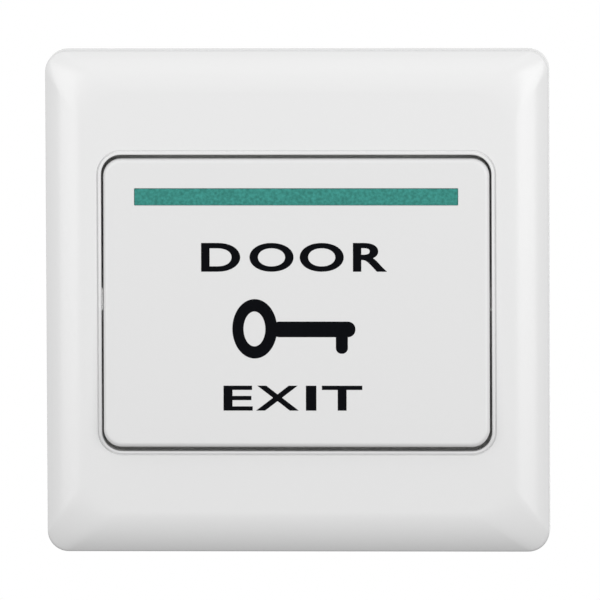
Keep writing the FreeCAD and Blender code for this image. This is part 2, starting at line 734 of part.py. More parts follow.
def switch_housing():
    """Moulded box behind the plate: a contact chamber in front and three wire wells behind."""
    body = new_body("switch_housing")
    front = "(0 - cover_thickness)"
    outline = Drawing(body, "Outline", level="0 - housing_depth")
    outline.rectangle("0", HOUSING_MIDDLE, "housing_width", "housing_height")
    pad(body, "Block", outline, "housing_depth - cover_thickness")
    lugs = Drawing(body, "LugPlan", level=f"{front} - fixing_height")
    lugs.slot("0", HOUSING_MIDDLE, f"2 * ({FIXING_X} + fixing_radius)", "fixing_radius")
    pad(body, "FixingLugs", lugs, "fixing_height")

    chamber = Drawing(body, "ChamberPlan", level=front)
    floor = f"({HOUSING_BOTTOM} + housing_wall)"
    chamber.rectangle(
        "0",
        f"(({floor} + {DIVIDER_FRONT}) / 2)",
        "(housing_width - 2 * housing_wall)",
        f"({DIVIDER_FRONT} - {floor})",
    )
    pocket(body, "ContactChamber", chamber, f"{front} - {HOUSING_FLOOR}")
    wells = Drawing(body, "WellPlan", level="0 - housing_depth")
    slots = Drawing(body, "SlotSide", "XZ_Plane", f"(0 - {DIVIDER_BACK})")
    reliefs = Drawing(body, "ReliefPlan", level=STRIP_BASE)
    for place in ("-1", "0", "1"):
        x = f"({place} * well_spacing)"
        wells.rectangle(x, TERMINAL_Y, "well_width", "well_height")
        slots.rectangle(
            x,
            f"(({LEAF_BASE} + {STRIP_BASE}) / 2)",
            "(terminal_width + 2 * terminal_clearance)",
            "(strip_metal + 2 * terminal_clearance)",
        )
        reliefs.rectangle(x, TERMINAL_Y, RELIEF_SIDE, RELIEF_SIDE)
    pocket(body, "WireWells", wells, f"{LEAF_BASE} + housing_depth", up=True)
    pocket(body, "TerminalSlots", slots, "divider_wall", up=True)
    pocket(body, "ScrewReliefs", reliefs, "strip_metal + clamp_screw_bite", up=True)

    posts = (
        ("CommonPost", "(0 - well_spacing)", STRIP_BASE),
        ("OpenPost", "well_spacing", f"({OPEN_STRIP_TOP} - strip_metal)"),
    )
    for name, x, top in posts:
        plan = Drawing(body, f"{name}Plan", level=HOUSING_FLOOR)
        plan.rectangle(x, CONTACT_Y, "terminal_width", "leaf_width")
        pad(body, name, plan, f"{top} - {HOUSING_FLOOR}")
    relief = Drawing(body, "RivetRelief", level=STRIP_BASE)
    relief.rectangle("(0 - well_spacing)", CONTACT_Y, RIVET_ROOM, "(2 * leaf_width)")
    pocket(body, "RivetSeat", relief, "moving_head + thread_clearance")
    bores = Drawing(body, "FixingPlan", level=front)
    for side in ("1", "-1"):
        bores.circle(f"{side} * {FIXING_X}", HOUSING_MIDDLE, FIXING_BORE)
    pocket(body, "FixingHoles", bores, "fixing_height")
    return on_panel(body)


def switch_cover():
    """Lid of the switch, with the plunger's guide standing through the plate."""
    body = new_body("switch_cover")
    outline = Drawing(body, "Outline", level="0 - cover_thickness")
    outline.rectangle("0", HOUSING_MIDDLE, "housing_width", "housing_height")
    pad(body, "Lid", outline, "cover_thickness")
    lugs = Drawing(body, "LugPlan", level="0 - cover_thickness")
    lugs.slot("0", HOUSING_MIDDLE, f"2 * ({FIXING_X} + fixing_radius)", "fixing_radius")
    pad(body, "FixingLugs", lugs, "cover_thickness")
    guide = Drawing(body, "GuidePlan", level="0 - cover_thickness / 2")
    guide.circle("0", CONTACT_Y, GUIDE_RADIUS)
    pad(body, "Guide", guide, "guide_height + cover_thickness / 2")
    bore = Drawing(body, "BorePlan", level="guide_height")
    bore.circle("0", CONTACT_Y, "(plunger_radius + plunger_clearance)")
    pocket(body, "Bore", bore, "guide_height + cover_thickness")
    bores = Drawing(body, "FixingPlan")
    for side in ("1", "-1"):
        bores.circle(f"{side} * {FIXING_X}", HOUSING_MIDDLE, FIXING_BORE)
    pocket(body, "FixingHoles", bores, "cover_thickness")
    return on_panel(body)


def plunger():
    """Stem that the push plate presses, with a flange to keep it in and a nose for the leaf."""
    body = new_body("plunger")
    flange_top = "(0 - cover_thickness - flange_gap)"
    flange_base = f"({flange_top} - flange_height)"
    stem = Drawing(body, "StemPlan", level=flange_top)
    stem.circle("0", "0", "plunger_radius")
    pad(body, "Stem", stem, f"{PLUNGER_TOP} - {flange_top}")
    flange = Drawing(body, "FlangePlan", level=flange_base)
    flange.circle("0", "0", "flange_radius")
    pad(body, "Flange", flange, "flange_height")
    nose = Drawing(body, "NosePlan", level=f"({LEAF_TOP} + leaf_gap)")
    nose.circle("0", "0", "nose_radius")
    pad(body, "Nose", nose, f"{flange_base} - {LEAF_TOP} - leaf_gap")
    on_panel(body)
    tie(body, "Placement.Base.z", CONTACT_Y)
    return body


def terminal_tail(body, place):
    """The part of a terminal strip that lies in its wire well, with its screw hole."""
    x = f"({place} * well_spacing)"
    far = f"({TERMINAL_Y} + clamp_side / 2)"
    near = f"({DIVIDER_FRONT} - terminal_clearance)"
    plan = Drawing(body, "TailPlan", level=STRIP_BASE)
    plan.rectangle(x, f"(({far} + {near}) / 2)", "terminal_width", f"({far} - {near})")
    pad(body, "Tail", plan, "strip_metal")
    hole = Drawing(body, "HolePlan", level=LEAF_BASE)
    hole.circle(x, TERMINAL_Y, "(clamp_screw_radius + thread_clearance)")
    pocket(body, "ScrewHole", hole, "strip_metal")


def bent_terminal(label, place, strip_top):
    """A terminal whose strip steps to another level inside the contact chamber."""
    body = new_body(label)
    terminal_tail(body, place)
    x = f"({place} * well_spacing)"
    back = f"({DIVIDER_FRONT} - terminal_clearance)"
    front = f"({back} - strip_metal)"
    arm_base = f"({strip_top} - strip_metal)"
    levels = (LEAF_BASE, STRIP_BASE, strip_top, arm_base)
    high, low = max(levels, key=value), min(levels, key=value)
    step = Drawing(body, "StepSide", "YZ_Plane", x)
    middle, height = f"(({high} + {low}) / 2)", f"({high} - {low})"
    step.rectangle(f"(({back} + {front}) / 2)", middle, "strip_metal", height)
    pad(body, "Step", step, "terminal_width", midplane=True)

    arm = Drawing(body, "ArmPlan", level=arm_base)
    left, inner = f"{x} - terminal_width / 2", f"{x} + terminal_width / 2"
    right = "well_spacing + terminal_width / 2"
    top, end = f"{CONTACT_Y} + leaf_width / 2", f"{CONTACT_Y} - terminal_width / 2"
    if place == "1":
        arm.polygon((left, back), (left, end), (right, end), (right, back))
    else:
        arm.polygon((left, back), (left, end), (right, end), (right, top), (inner, top), (inner, back))
    pad(body, "Arm", arm, "strip_metal")
    return on_panel(body)


def common_terminal():
    """Straight terminal strip that carries the contact leaf."""
    body = new_body("common_terminal")
    terminal_tail(body, "-1")
    end = f"({CONTACT_Y} - terminal_width / 2)"
    back = f"({DIVIDER_FRONT} - terminal_clearance)"
    arm = Drawing(body, "ArmPlan", level=STRIP_BASE)
    middle = f"(({back} + {end}) / 2)"
    arm.rectangle("(0 - well_spacing)", middle, "terminal_width", f"({back} - {end})")
    pad(body, "Arm", arm, "strip_metal")
    hole = Drawing(body, "RivetPlan", level=LEAF_BASE)
    hole.circle("(0 - well_spacing)", CONTACT_Y, "(rivet_radius + thread_clearance)")
    pocket(body, "RivetHole", hole, "strip_metal")
    return on_panel(body)


def contact_leaf():
    """Springy strip from the common terminal to the two fixed contacts."""
    body = new_body("contact_leaf")
    plan = Drawing(body, "Plan", level=LEAF_BASE)
    plan.rectangle("0", CONTACT_Y, "(2 * (well_spacing + leaf_overhang))", "leaf_width")
    pad(body, "Leaf", plan, "leaf_thickness")
    hole = Drawing(body, "RivetPlan", level=LEAF_TOP)
    hole.circle("(0 - well_spacing)", CONTACT_Y, "(rivet_radius + thread_clearance)")
    pocket(body, "RivetHole", hole, "leaf_thickness")
    return on_panel(body)


def leaf_rivet():
    """Rivet through the leaf and the common terminal, with a head on both sides."""
    body = new_body("leaf_rivet")
    x = "(0 - well_spacing)"
    stretches = (
        ("Shank", STRIP_BASE, f"{LEAF_TOP} - {STRIP_BASE}", "rivet_radius"),
        ("LowHead", f"{STRIP_BASE} - moving_head", "moving_head", "rivet_head"),
        ("HighHead", LEAF_TOP, "moving_head", "rivet_head"),
    )
    for name, level, height, radius in stretches:
        plan = Drawing(body, f"{name}Plan", level=level)
        plan.circle(x, CONTACT_Y, radius)
        pad(body, name, plan, height)
    return on_panel(body)


def moving_contacts():
    """Round contact faces welded to both sides of the leaf's free end."""
    body = new_body("moving_contacts")
    for name, level in (("Rear", f"{LEAF_BASE} - moving_head"), ("Front", LEAF_TOP)):
        plan = Drawing(body, f"{name}Plan", level=level)
        plan.circle("well_spacing", CONTACT_Y, "contact_radius")
        pad(body, name, plan, "moving_head")
    return on_panel(body)


def contact_button(label, base, height):
    """A round fixed contact on the end of a terminal strip."""
    body = new_body(label)
    plan = Drawing(body, "Plan", level=base)
    plan.circle("well_spacing", CONTACT_Y, "contact_radius")
    pad(body, "Button", plan, height)
    return on_panel(body)


def terminal_clamps():
    """Square clamp plates under the terminal screws."""
    body = new_body("terminal_clamps")
    plan = Drawing(body, "Plan", level=f"{STRIP_BASE} - clamp_thickness")
    plan.rectangle("(0 - well_spacing)", TERMINAL_Y, "clamp_side", "clamp_side")
    plan.circle("(0 - well_spacing)", TERMINAL_Y, "(clamp_screw_radius + thread_clearance)")
    clamp = pad(body, "Clamp", plan, "clamp_thickness")
    copies(body, "Clamps", [clamp], "X_Axis", "2 * well_spacing", 3)
    return on_panel(body)


def terminal_screws():
    """Pan head screws of the three wire wells."""
    body = new_body("terminal_screws")
    head_top = f"({STRIP_BASE} - clamp_thickness)"
    tip = f"({STRIP_BASE} + strip_metal + clamp_screw_bite - 2 * thread_clearance)"
    shank = Drawing(body, "ShankPlan", level=head_top)
    shank.circle("(0 - well_spacing)", TERMINAL_Y, "clamp_screw_radius")
    stem = pad(body, "Shank", shank, f"{tip} - {head_top}")
    head = Drawing(body, "HeadPlan", level=f"{head_top} - clamp_head_height")
    head.circle("(0 - well_spacing)", TERMINAL_Y, "clamp_head_radius")
    pan = pad(body, "Head", head, "clamp_head_height")
    drive = Drawing(body, "DrivePlan", level=f"{head_top} - clamp_head_height")
    drive.rectangle("(0 - well_spacing)", TERMINAL_Y, "(2 * clamp_head_radius)", "drive_width")
    slot = pocket(body, "Drive", drive, "drive_depth", up=True)
    copies(body, "Screws", [stem, pan, slot], "X_Axis", "2 * well_spacing", 3)
    return on_panel(body)


def fixing_screws():
    """Two flat headed screws that hold the switch under the mounting plate."""
    body = new_body("fixing_screws")
    x = f"(0 - {FIXING_X})"
    head_base = "(plate_thickness - fixing_head_height)"
    shank = Drawing(body, "ShankPlan", level="0 - fixing_screw_end")
    shank.circle(x, HOUSING_MIDDLE, "fixing_screw_radius")
    stem = pad(body, "Shank", shank, f"{head_base} + fixing_screw_end")
    head = Drawing(body, "HeadPlan", level=head_base)
    head.circle(x, HOUSING_MIDDLE, "fixing_head_radius")
    top = pad(body, "Head", head, "fixing_head_height")
    drive = Drawing(body, "DrivePlan", level="plate_thickness")
    drive.rectangle(x, HOUSING_MIDDLE, "2 * fixing_head_radius", "drive_width")
    slot = pocket(body, "Drive", drive, "drive_depth")
    copies(body, "Screws", [stem, top, slot], "X_Axis", f"2 * {FIXING_X}", 2)
    return on_panel(body)


def build_all():
    """Every piece of the button, in the order that a bench would lay them out."""
    return [
        front_frame(),
        mounting_plate(),
        rocker_button(),
        glow_strip(),
        return_spring(),
        switch_housing(),
        switch_cover(),
        plunger(),
        common_terminal(),
        bent_terminal("normally_open_terminal", "0", OPEN_STRIP_TOP),
        bent_terminal("normally_closed_terminal", "1", "(0 - cover_thickness)"),
        contact_leaf(),
        leaf_rivet(),
        moving_contacts(),
        contact_button("normally_open_contact", OPEN_STRIP_TOP, "contact_height"),
        contact_button("normally_closed_contact", CLOSED_CONTACT_BASE, CLOSED_CONTACT_HEIGHT),
        terminal_clamps(),
        terminal_screws(),
        fixing_screws(),
    ]


def check_document(pieces):
    """Stop if a feature failed or a piece isn't a sound solid."""
    for thing in doc.Objects:
        if "Invalid" in thing.State or "Error" in thing.State:
            raise RuntimeError(f"{thing.Label} failed: {thing.State}")
    for piece in pieces:
        if piece.Shape.isNull() or not piece.Shape.isValid():
            raise RuntimeError(f"{piece.Label} has no sound shape")


parts = build_all()
doc.recompute()
check_document(parts)
os.makedirs("parts", exist_ok=True)
for piece in parts:
    piece.Shape.exportStep(f"parts/{piece.Label}.step")
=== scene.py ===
"""Looks of the door exit button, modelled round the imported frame.

Sizes are in millimetres of the panel: across to the right, rise up from its middle, and level
out from the wall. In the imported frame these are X, Z and -Y, in metres.
"""

import json
import logging
import math
from dataclasses import dataclass
from enum import Enum
from typing import Callable, Optional, Sequence

import bpy
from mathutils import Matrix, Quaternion, Vector

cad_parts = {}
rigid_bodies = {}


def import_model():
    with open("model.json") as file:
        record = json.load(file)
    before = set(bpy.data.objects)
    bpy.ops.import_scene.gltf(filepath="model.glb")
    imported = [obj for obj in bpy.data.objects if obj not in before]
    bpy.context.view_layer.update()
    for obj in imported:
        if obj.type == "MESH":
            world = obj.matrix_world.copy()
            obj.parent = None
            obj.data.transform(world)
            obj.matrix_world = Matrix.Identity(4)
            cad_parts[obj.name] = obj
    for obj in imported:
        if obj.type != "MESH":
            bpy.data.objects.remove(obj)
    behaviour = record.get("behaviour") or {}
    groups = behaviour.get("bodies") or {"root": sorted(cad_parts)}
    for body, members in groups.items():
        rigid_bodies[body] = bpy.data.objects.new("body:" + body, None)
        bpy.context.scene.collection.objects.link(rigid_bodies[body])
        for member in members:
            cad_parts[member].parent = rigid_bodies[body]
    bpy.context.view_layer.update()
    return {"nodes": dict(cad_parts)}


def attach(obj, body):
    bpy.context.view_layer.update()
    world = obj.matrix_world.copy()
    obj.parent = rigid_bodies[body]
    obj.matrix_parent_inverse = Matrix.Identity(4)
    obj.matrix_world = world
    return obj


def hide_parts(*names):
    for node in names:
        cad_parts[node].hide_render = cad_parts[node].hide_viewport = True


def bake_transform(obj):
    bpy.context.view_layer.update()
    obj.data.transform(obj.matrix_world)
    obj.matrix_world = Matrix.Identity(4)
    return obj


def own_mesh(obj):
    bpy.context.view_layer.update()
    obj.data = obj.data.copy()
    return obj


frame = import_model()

LOG = logging.getLogger("door_exit_button")

Span = tuple[float, float]
Place = tuple[float, float, float]
Box = tuple[float, float, float, float]
Socket = bpy.types.NodeSocket
Thing = bpy.types.Object

# A millimetre, how near a point counts as on a plane, and how near two points are one.
MM = 0.001
NEAR = 0.01 * MM
MERGED = 0.001 * MM
# How far joined pieces overlap, and how far a cutter stands out, in millimetres.
OVERLAP = 0.3
CLEARANCE = 1.0
# The least share of a normal along an axis in a face that looks that way.
FLAT = 0.9
QUARTER_TURN = math.pi / 2
EDGE_ANGLE = math.radians(32)
SMOOTH_ANGLE = math.radians(40)
FACET_ANGLE = math.radians(0.5)
NORMAL_WEIGHT = 60
BEVEL_STEPS = 2
CORNER_STEPS = 10
SHOULDER_STEPS = 14
EDGE_STEPS = 6
ROUND_STEPS = 8
OVAL_STEPS = 64
LETTER_STEPS = 10
SIDES = (1, -1)
QUARTERS = tuple((first, second) for first in SIDES for second in SIDES)


class Material(Enum):
    """The shaders that the pieces are dressed in."""

    FRAME = "frame_abs"
    BUTTON = "button_abs"
    NYLON = "plate_nylon"
    SWITCH = "switch_nylon"
    ACETAL = "plunger_acetal"
    STRIP = "phosphor_strip"
    INK = "screen_ink"
    SPRING = "spring_steel"
    BRASS = "terminal_brass"
    BRONZE = "leaf_bronze"
    COPPER = "rivet_copper"
    SILVER = "contact_silver"
    ZINC = "zinc_plated_steel"


class Element(Enum):
    """What is picked in a mesh."""

    POINT = "VERT"
    FACE = "FACE"


class Change(Enum):
    """How a second piece changes the first."""

    CUT = "DIFFERENCE"
    ADD = "UNION"


def linear(code: str) -> tuple[float, float, float, float]:
    """Turns an sRGB colour into linear light, by the curve of that standard.

    Args:
        code: The colour as six hex digits.

    Returns:
        Red, green, blue and an alpha of 1, as a shader socket takes them.
    """
    parts = [int(code[start:start + 2], 16) / 255 for start in (0, 2, 4)]
    red, green, blue = [
        part / 12.92 if part <= 0.04045 else ((part + 0.055) / 1.055) ** 2.4 for part in parts
    ]
    return (red, green, blue, 1.0)


def add_node(
    tree: bpy.types.NodeTree,
    kind: str,
    links: Optional[dict[str | int, Socket]] = None,
    values: Optional[dict[str | int, object]] = None,
    **settings: object,
) -> bpy.types.Node:
    """Adds one shader node.

    Args:
        tree: The material's node tree.
        kind: The node's type name.
        links: Output sockets, each under the name or number of the input that it feeds.
        values: Constants, each under the name or number of its input.
        settings: Properties of the node itself.

    Returns:
        The new node.
    """
    node = tree.nodes.new(kind)
    for name, setting in settings.items():
        setattr(node, name, setting)
    for name, constant in (values or {}).items():
        node.inputs[name].default_value = constant
    for name, socket in (links or {}).items():
        tree.links.new(socket, node.inputs[name])
    return node


def mixed(tree: bpy.types.NodeTree, share: Socket, first: Socket, second: Socket) -> Socket:
    """Mixes two shaders by the share of the second."""
    return add_node(tree, "ShaderNodeMixShader", {0: share, 1: first, 2: second}).outputs[0]


def added(operator: Callable[..., object], **settings: object) -> Thing:
    """Deselects everything and adds an object.

    Args:
        operator: The operator that adds it.
        settings: What the operator is given.

    Returns:
        The new object.
    """
    bpy.ops.object.select_all(action="DESELECT")
    operator(**settings)
    return bpy.context.object


def only(thing: Thing) -> None:
    """Selects one object alone and makes it the active one.

    Args:
        thing: The object.
    """
    bpy.ops.object.select_all(action="DESELECT")
    thing.select_set(True)
    bpy.context.view_layer.objects.active = thing


def settle(thing: Thing) -> Thing:
    """Puts an object's place, turn and scale into its mesh.

    Args:
        thing: The object.

    Returns:
        The same object.
    """
    only(thing)
    bpy.ops.object.transform_apply(location=True, rotation=True, scale=True)
    return thing


def named(thing: Thing, name: str) -> Thing:
    """Gives an object and its mesh one name, and returns it."""
    thing.name = thing.data.name = name
    return thing


def about(middle: float, width: float) -> Span:
    """The two ends of a width about its middle."""
    return (middle - width / 2, middle + width / 2)


def sided(side: int, near: float, far: float) -> Span:
    """A stretch from near to far on one side, with its lower end first."""
    return (min(side * near, side * far), max(side * near, side * far))


class Editing:
    """Edit mode on one object, with everything deselected at the start."""

    def __init__(self, thing: Thing) -> None:
        """Keeps the object to be edited."""
        self.thing = thing

    def __enter__(self) -> "Editing":
        """Opens edit mode.

        Returns:
            This editing.
        """
        only(self.thing)
        bpy.ops.object.mode_set(mode="EDIT")
        bpy.ops.mesh.select_all(action="DESELECT")
        return self

    def __exit__(self, *_: object) -> None:
        """Goes back to object mode."""
        bpy.ops.object.mode_set(mode="OBJECT")

    def pick_all(self) -> None:
        """Selects everything."""
        bpy.ops.mesh.select_all(action="SELECT")

    def pick(self, kind: Element, test: Callable[[object], bool]) -> None:
        """Selects the points or the faces that pass a test.

        Args:
            kind: Which of them.
            test: The test, which takes a vertex or a polygon of the mesh.
        """
        bpy.ops.mesh.select_mode(type=kind.value)
        bpy.ops.mesh.select_all(action="DESELECT")
        bpy.ops.object.mode_set(mode="OBJECT")
        mesh = self.thing.data
        for element in mesh.vertices if kind is Element.POINT else mesh.polygons:
            element.select = test(element)
        bpy.ops.object.mode_set(mode="EDIT")

    def pick_points(self, test: Callable[[Vector], bool]) -> None:
        """Selects the vertices whose place passes a test."""
        self.pick(Element.POINT, lambda vertex: test(vertex.co))

    def pick_faces(self, test: Callable[[Vector, Vector], bool]) -> None:
        """Selects the faces whose centre and normal pass a test."""
        self.pick(Element.FACE, lambda polygon: test(polygon.center, polygon.normal))

    def close_up(self) -> None:
        """Merges doubled vertices and turns all faces outwards."""
        self.pick_all()
        bpy.ops.mesh.remove_doubles(threshold=MERGED)
        bpy.ops.mesh.normals_make_consistent(inside=False)


@dataclass(frozen=True)
class Outline:
    """An outline with round corners at one level, with its middle at a rise."""

    width: float
    height: float
    radius: float
    level: float
    rise: float = 0.0

    def holds(self, point: Vector) -> bool:
        """Whether a vertex lies on this outline.

        Args:
            point: Its place in metres.

        Returns:
            True where it does.
        """
        slack = 0.002
        x = abs(point.x / MM)
        y = abs(point.z / MM - self.rise)
        if abs(-point.y / MM - self.level) > slack:
            return False
        reach_x, reach_y = self.width / 2 - self.radius, self.height / 2 - self.radius
        if x < reach_x - slack or y < reach_y - slack:
            return False
        return abs(math.hypot(x - reach_x, y - reach_y) - self.radius) < slack

    def draw(self) -> Thing:
        """Adds the outline as a flat face whose corners are bevelled round.

        Returns:
            The new object.
        """
        plane = added(
            bpy.ops.mesh.primitive_plane_add,
            size=MM,
            location=(0, -self.level * MM, self.rise * MM),
            rotation=(QUARTER_TURN, 0, 0),
        )
        plane.scale = (self.width, self.height, 1)
        settle(plane)
        with Editing(plane) as edit:
            edit.pick_all()
            bpy.ops.mesh.bevel(
                offset=self.radius * MM, segments=CORNER_STEPS, affect="VERTICES", clamp_overlap=False
            )
        return plane


def disc(radius: float, level: float, rise: float) -> Outline:
    """A round outline, whose corners just fail to meet so that none is lost."""
    nearly = 0.9999
    return Outline(2 * radius, 2 * radius, radius * nearly, level, rise=rise)


def joined(name: str, things: Sequence[Thing]) -> Thing:
    """Joins objects into one.

    Args:
        name: The name of the result.
        things: The objects, of which the first stays.

    Returns:
        The joined object.
    """
    bpy.ops.object.select_all(action="DESELECT")
    for thing in things:
        thing.select_set(True)
    bpy.context.view_layer.objects.active = things[0]
    bpy.ops.object.join()
    return named(things[0], name)


def skinned(name: str, outlines: Sequence[Outline], ring: bool = False) -> Thing:
    """Runs a skin over a stack of outlines.

    Args:
        name: The name of the new piece.
        outlines: The outlines in order.
        ring: Whether the last outline leads back to the first, instead of both being closed.

    Returns:
        The new piece, a closed mesh.
    """
    thing = joined(name, [outline.draw() for outline in outlines])
    pairs = list(zip(outlines, outlines[1:]))
    if ring:
        pairs.append((outlines[-1], outlines[0]))
    with Editing(thing) as edit:
        edit.pick_all()
        bpy.ops.mesh.delete(type="ONLY_FACE")
        for first, second in pairs:
            edit.pick_points(lambda point: first.holds(point) or second.holds(point))
            if first.level == second.level:
                bpy.ops.mesh.fill(use_beauty=True)
            else:
                bpy.ops.mesh.bridge_edge_loops()
        if not ring:
            for end in (outlines[0], outlines[-1]):
                edit.pick_points(end.holds)
                bpy.ops.mesh.edge_face_add()
        edit.close_up()
    return thing


def apply_modifier(thing: Thing, kind: str, **settings: object) -> None:
    """Adds one modifier and applies it.

    Args:
        thing: The piece.
        kind: The modifier's type.
        settings: The modifier's own properties.
    """
    only(thing)
    modifier = thing.modifiers.new(kind.title(), kind)
    for name, setting in settings.items():
        setattr(modifier, name, setting)
    bpy.ops.object.modifier_apply(modifier=modifier.name)


def softened(thing: Thing, width: float) -> Thing:
    """Breaks the sharp edges and evens the shading of the flats.

    Args:
        thing: The piece.
        width: The width of the edge's bevel in millimetres, or 0 for none.

    Returns:
        The same piece.
    """
    if width > 0:
        apply_modifier(
            thing,
            "BEVEL",
            width=width * MM,
            segments=BEVEL_STEPS,
            limit_method="ANGLE",
            angle_limit=EDGE_ANGLE,
            use_clamp_overlap=True,
        )
    only(thing)
    bpy.ops.object.shade_smooth_by_angle(angle=SMOOTH_ANGLE)
    apply_modifier(thing, "WEIGHTED_NORMAL", keep_sharp=True, weight=NORMAL_WEIGHT)
    return thing


def combined(thing: Thing, other: Thing, how: Change) -> None:
    """Cuts a piece with another one or unites the two, and throws the other one away."""
    apply_modifier(thing, "BOOLEAN", operation=how.value, solver="EXACT", object=other)
    bpy.data.objects.remove(other, do_unlink=True)


def block(name: str, across: Span, rise: Span, level: Span) -> Thing:
    """Adds a cube scaled to a box.

    Args:
        name: The name of the new piece.
        across: Its left and right.
        rise: Its bottom and top.
        level: Its rear and front.

    Returns:
        The block, with its place in its mesh.
    """
    middle = (sum(across) / 2 * MM, -sum(level) / 2 * MM, sum(rise) / 2 * MM)
    cube = added(bpy.ops.mesh.primitive_cube_add, size=MM, location=middle)
    cube.scale = (across[1] - across[0], level[1] - level[0], rise[1] - rise[0])
    return named(settle(cube), name)


def rod(name: str, radius: float, across: Span) -> Thing:
    """Adds a cylinder of this radius along X, between two places across."""
    cylinder = added(
        bpy.ops.mesh.primitive_cylinder_add,
        vertices=4 * CORNER_STEPS,
        radius=radius * MM,
        depth=(across[1] - across[0]) * MM,
        location=(sum(across) / 2 * MM, 0, 0),
        rotation=(0, QUARTER_TURN, 0),
    )
    return named(settle(cylinder), name)


def barbed(leg: Thing, way: int, face: float, catch: Span, reach: float, slope: float) -> Thing:
    """Draws a catch out of a leg's inner face and slopes its nose.

    Args:
        leg: The leg, a block.
        way: 1 where its inner face looks down, and -1 where it looks up.
        face: The rise of that face.
        catch: The levels of the leg's end and of the catch's shoulder.
        reach: How far the catch stands out.
        slope: The share of the catch's thickness that its nose loses at the tip.

    Returns:
        The leg.
    """
    end, shoulder = catch
    tip = (face - way * reach) * MM
    with Editing(leg) as edit:
        edit.pick_all()
        bpy.ops.mesh.bisect(plane_co=(0, -shoulder * MM, 0), plane_no=(0, 1, 0))
        edit.pick_faces(lambda centre, normal: normal.z * way < -FLAT and centre.y > -shoulder * MM)
        bpy.ops.mesh.extrude_region_move(TRANSFORM_OT_translate={"value": (0, 0, -way * reach * MM)})
        edit.pick_points(lambda point: abs(point.z - tip) < NEAR and abs(point.y + end * MM) < NEAR)
        bpy.ops.transform.translate(value=(0, -slope * (shoulder - end) * MM, 0))
    return leg


def dressed(
    thing: Thing,
    material: Material,
    body: Optional[str],
    slot: Optional[str] = None,
    *nodes: str,
) -> Thing:
    """Gives a finished piece its material, its body and the CAD nodes that it stands for.

    Args:
        thing: The piece.
        material: Its finish.
        body: The CAD body that it rides on, or none for a piece that bends between two.
        slot: The record's material slot, or none for a print that the record doesn't know. It is not
            used.
        nodes: The CAD nodes that it replaces.

    Returns:
        The same piece.
    """
    thing.data.materials.clear()
    thing.data.materials.append(bpy.data.materials[material.value])
    if body:
        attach(thing, body)
    if nodes:
        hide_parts(*nodes)
    LOG.info("%s: %d faces", thing.name, len(thing.data.polygons))
    return thing


def extent(thing: Thing) -> tuple[Vector, Vector]:
    """The lowest and highest corner of a mesh."""
    axes = list(zip(*(vertex.co for vertex in thing.data.vertices)))
    return Vector([min(axis) for axis in axes]), Vector([max(axis) for axis in axes])


@dataclass(frozen=True)
class Finish:
    """What a material is made of and how its surface was made.

    The patches are the second colour that its pattern brings in, where it has one.
    """

    material: Material
    roughness: float
    colour: str
    patches: str = ""
    ior: float = 1.5
    metallic: float = 0.0


class Surface:
    """The shader of one finish under work, with object coordinates for its patterns."""

    def __init__(self, finish: Finish) -> None:
        """Starts the material with the finish's plain values.

        Args:
            finish: The finish.
        """
        made = bpy.data.materials.new(finish.material.value)
        made.use_nodes = True
        made.diffuse_color = linear(finish.colour)
        self.finish = finish
        self.tree = made.node_tree
        self.shader = self.tree.nodes["Principled BSDF"]
        self.shader.inputs["Base Color"].default_value = linear(finish.colour)
        self.shader.inputs["Roughness"].default_value = finish.roughness
        self.shader.inputs["Metallic"].default_value = finish.metallic
        if not finish.metallic:
            self.shader.inputs["IOR"].default_value = finish.ior
        self.place = add_node(self.tree, "ShaderNodeTexCoord").outputs["Object"]

    def feed(self, name: str, socket: Socket) -> None:
        """Links a socket to one of the shader's inputs."""
        self.tree.links.new(socket, self.shader.inputs[name])

    def noise(self, size: float, detail: float, stretch: Optional[Place] = None) -> Socket:
        """Adds cloudy noise.

        Args:
            size: The size of its clouds in millimetres.
            detail: How many finer layers it has.
            stretch: How much it is squeezed along each axis, if at all.

        Returns:
            The noise from 0 to 1.
        """
        place = self.place
        if stretch:
            turned = add_node(self.tree, "ShaderNodeMapping", {"Vector": place}, {"Scale": stretch})
            place = turned.outputs["Vector"]
        values = {"Scale": 1 / (size * MM), "Detail": detail}
        return add_node(self.tree, "ShaderNodeTexNoise", {"Vector": place}, values).outputs["Fac"]

    def spread(self, pattern: Socket, low: float = 0.0, high: float = 1.0) -> Socket:
        """Maps the middle of a noise's range onto values from low to high."""
        values = {"From Min": 0.3, "From Max": 0.7, "To Min": low, "To Max": high}
        return add_node(self.tree, "ShaderNodeMapRange", {"Value": pattern}, values).outputs["Result"]

    def waver(self, pattern: Socket, down: float, up: float) -> None:
        """Lets the roughness go down and up by this much with a pattern."""
        roughness = self.finish.roughness
        self.feed("Roughness", self.spread(pattern, roughness - down, roughness + up))

    def mottle(self, pattern: Socket) -> None:
        """Mixes the finish's colour with that of its patches.

        Args:
            pattern: The noise that the patches follow.
        """
        node = add_node(self.tree, "ShaderNodeMix", {0: self.spread(pattern)}, data_type="RGBA")
        colours = [socket for socket in node.inputs if socket.type == "RGBA"]
        colours[0].default_value = linear(self.finish.colour)
        colours[1].default_value = linear(self.finish.patches)
        self.feed("Base Color", next(socket for socket in node.outputs if socket.type == "RGBA"))

    def bump(self, height: Socket, depth: float) -> None:
        """Raises the surface by a height pattern of this depth in millimetres."""
        links, values = {"Height": height}, {"Strength": 1.0, "Distance": depth * MM}
        self.feed("Normal", add_node(self.tree, "ShaderNodeBump", links, values).outputs["Normal"])


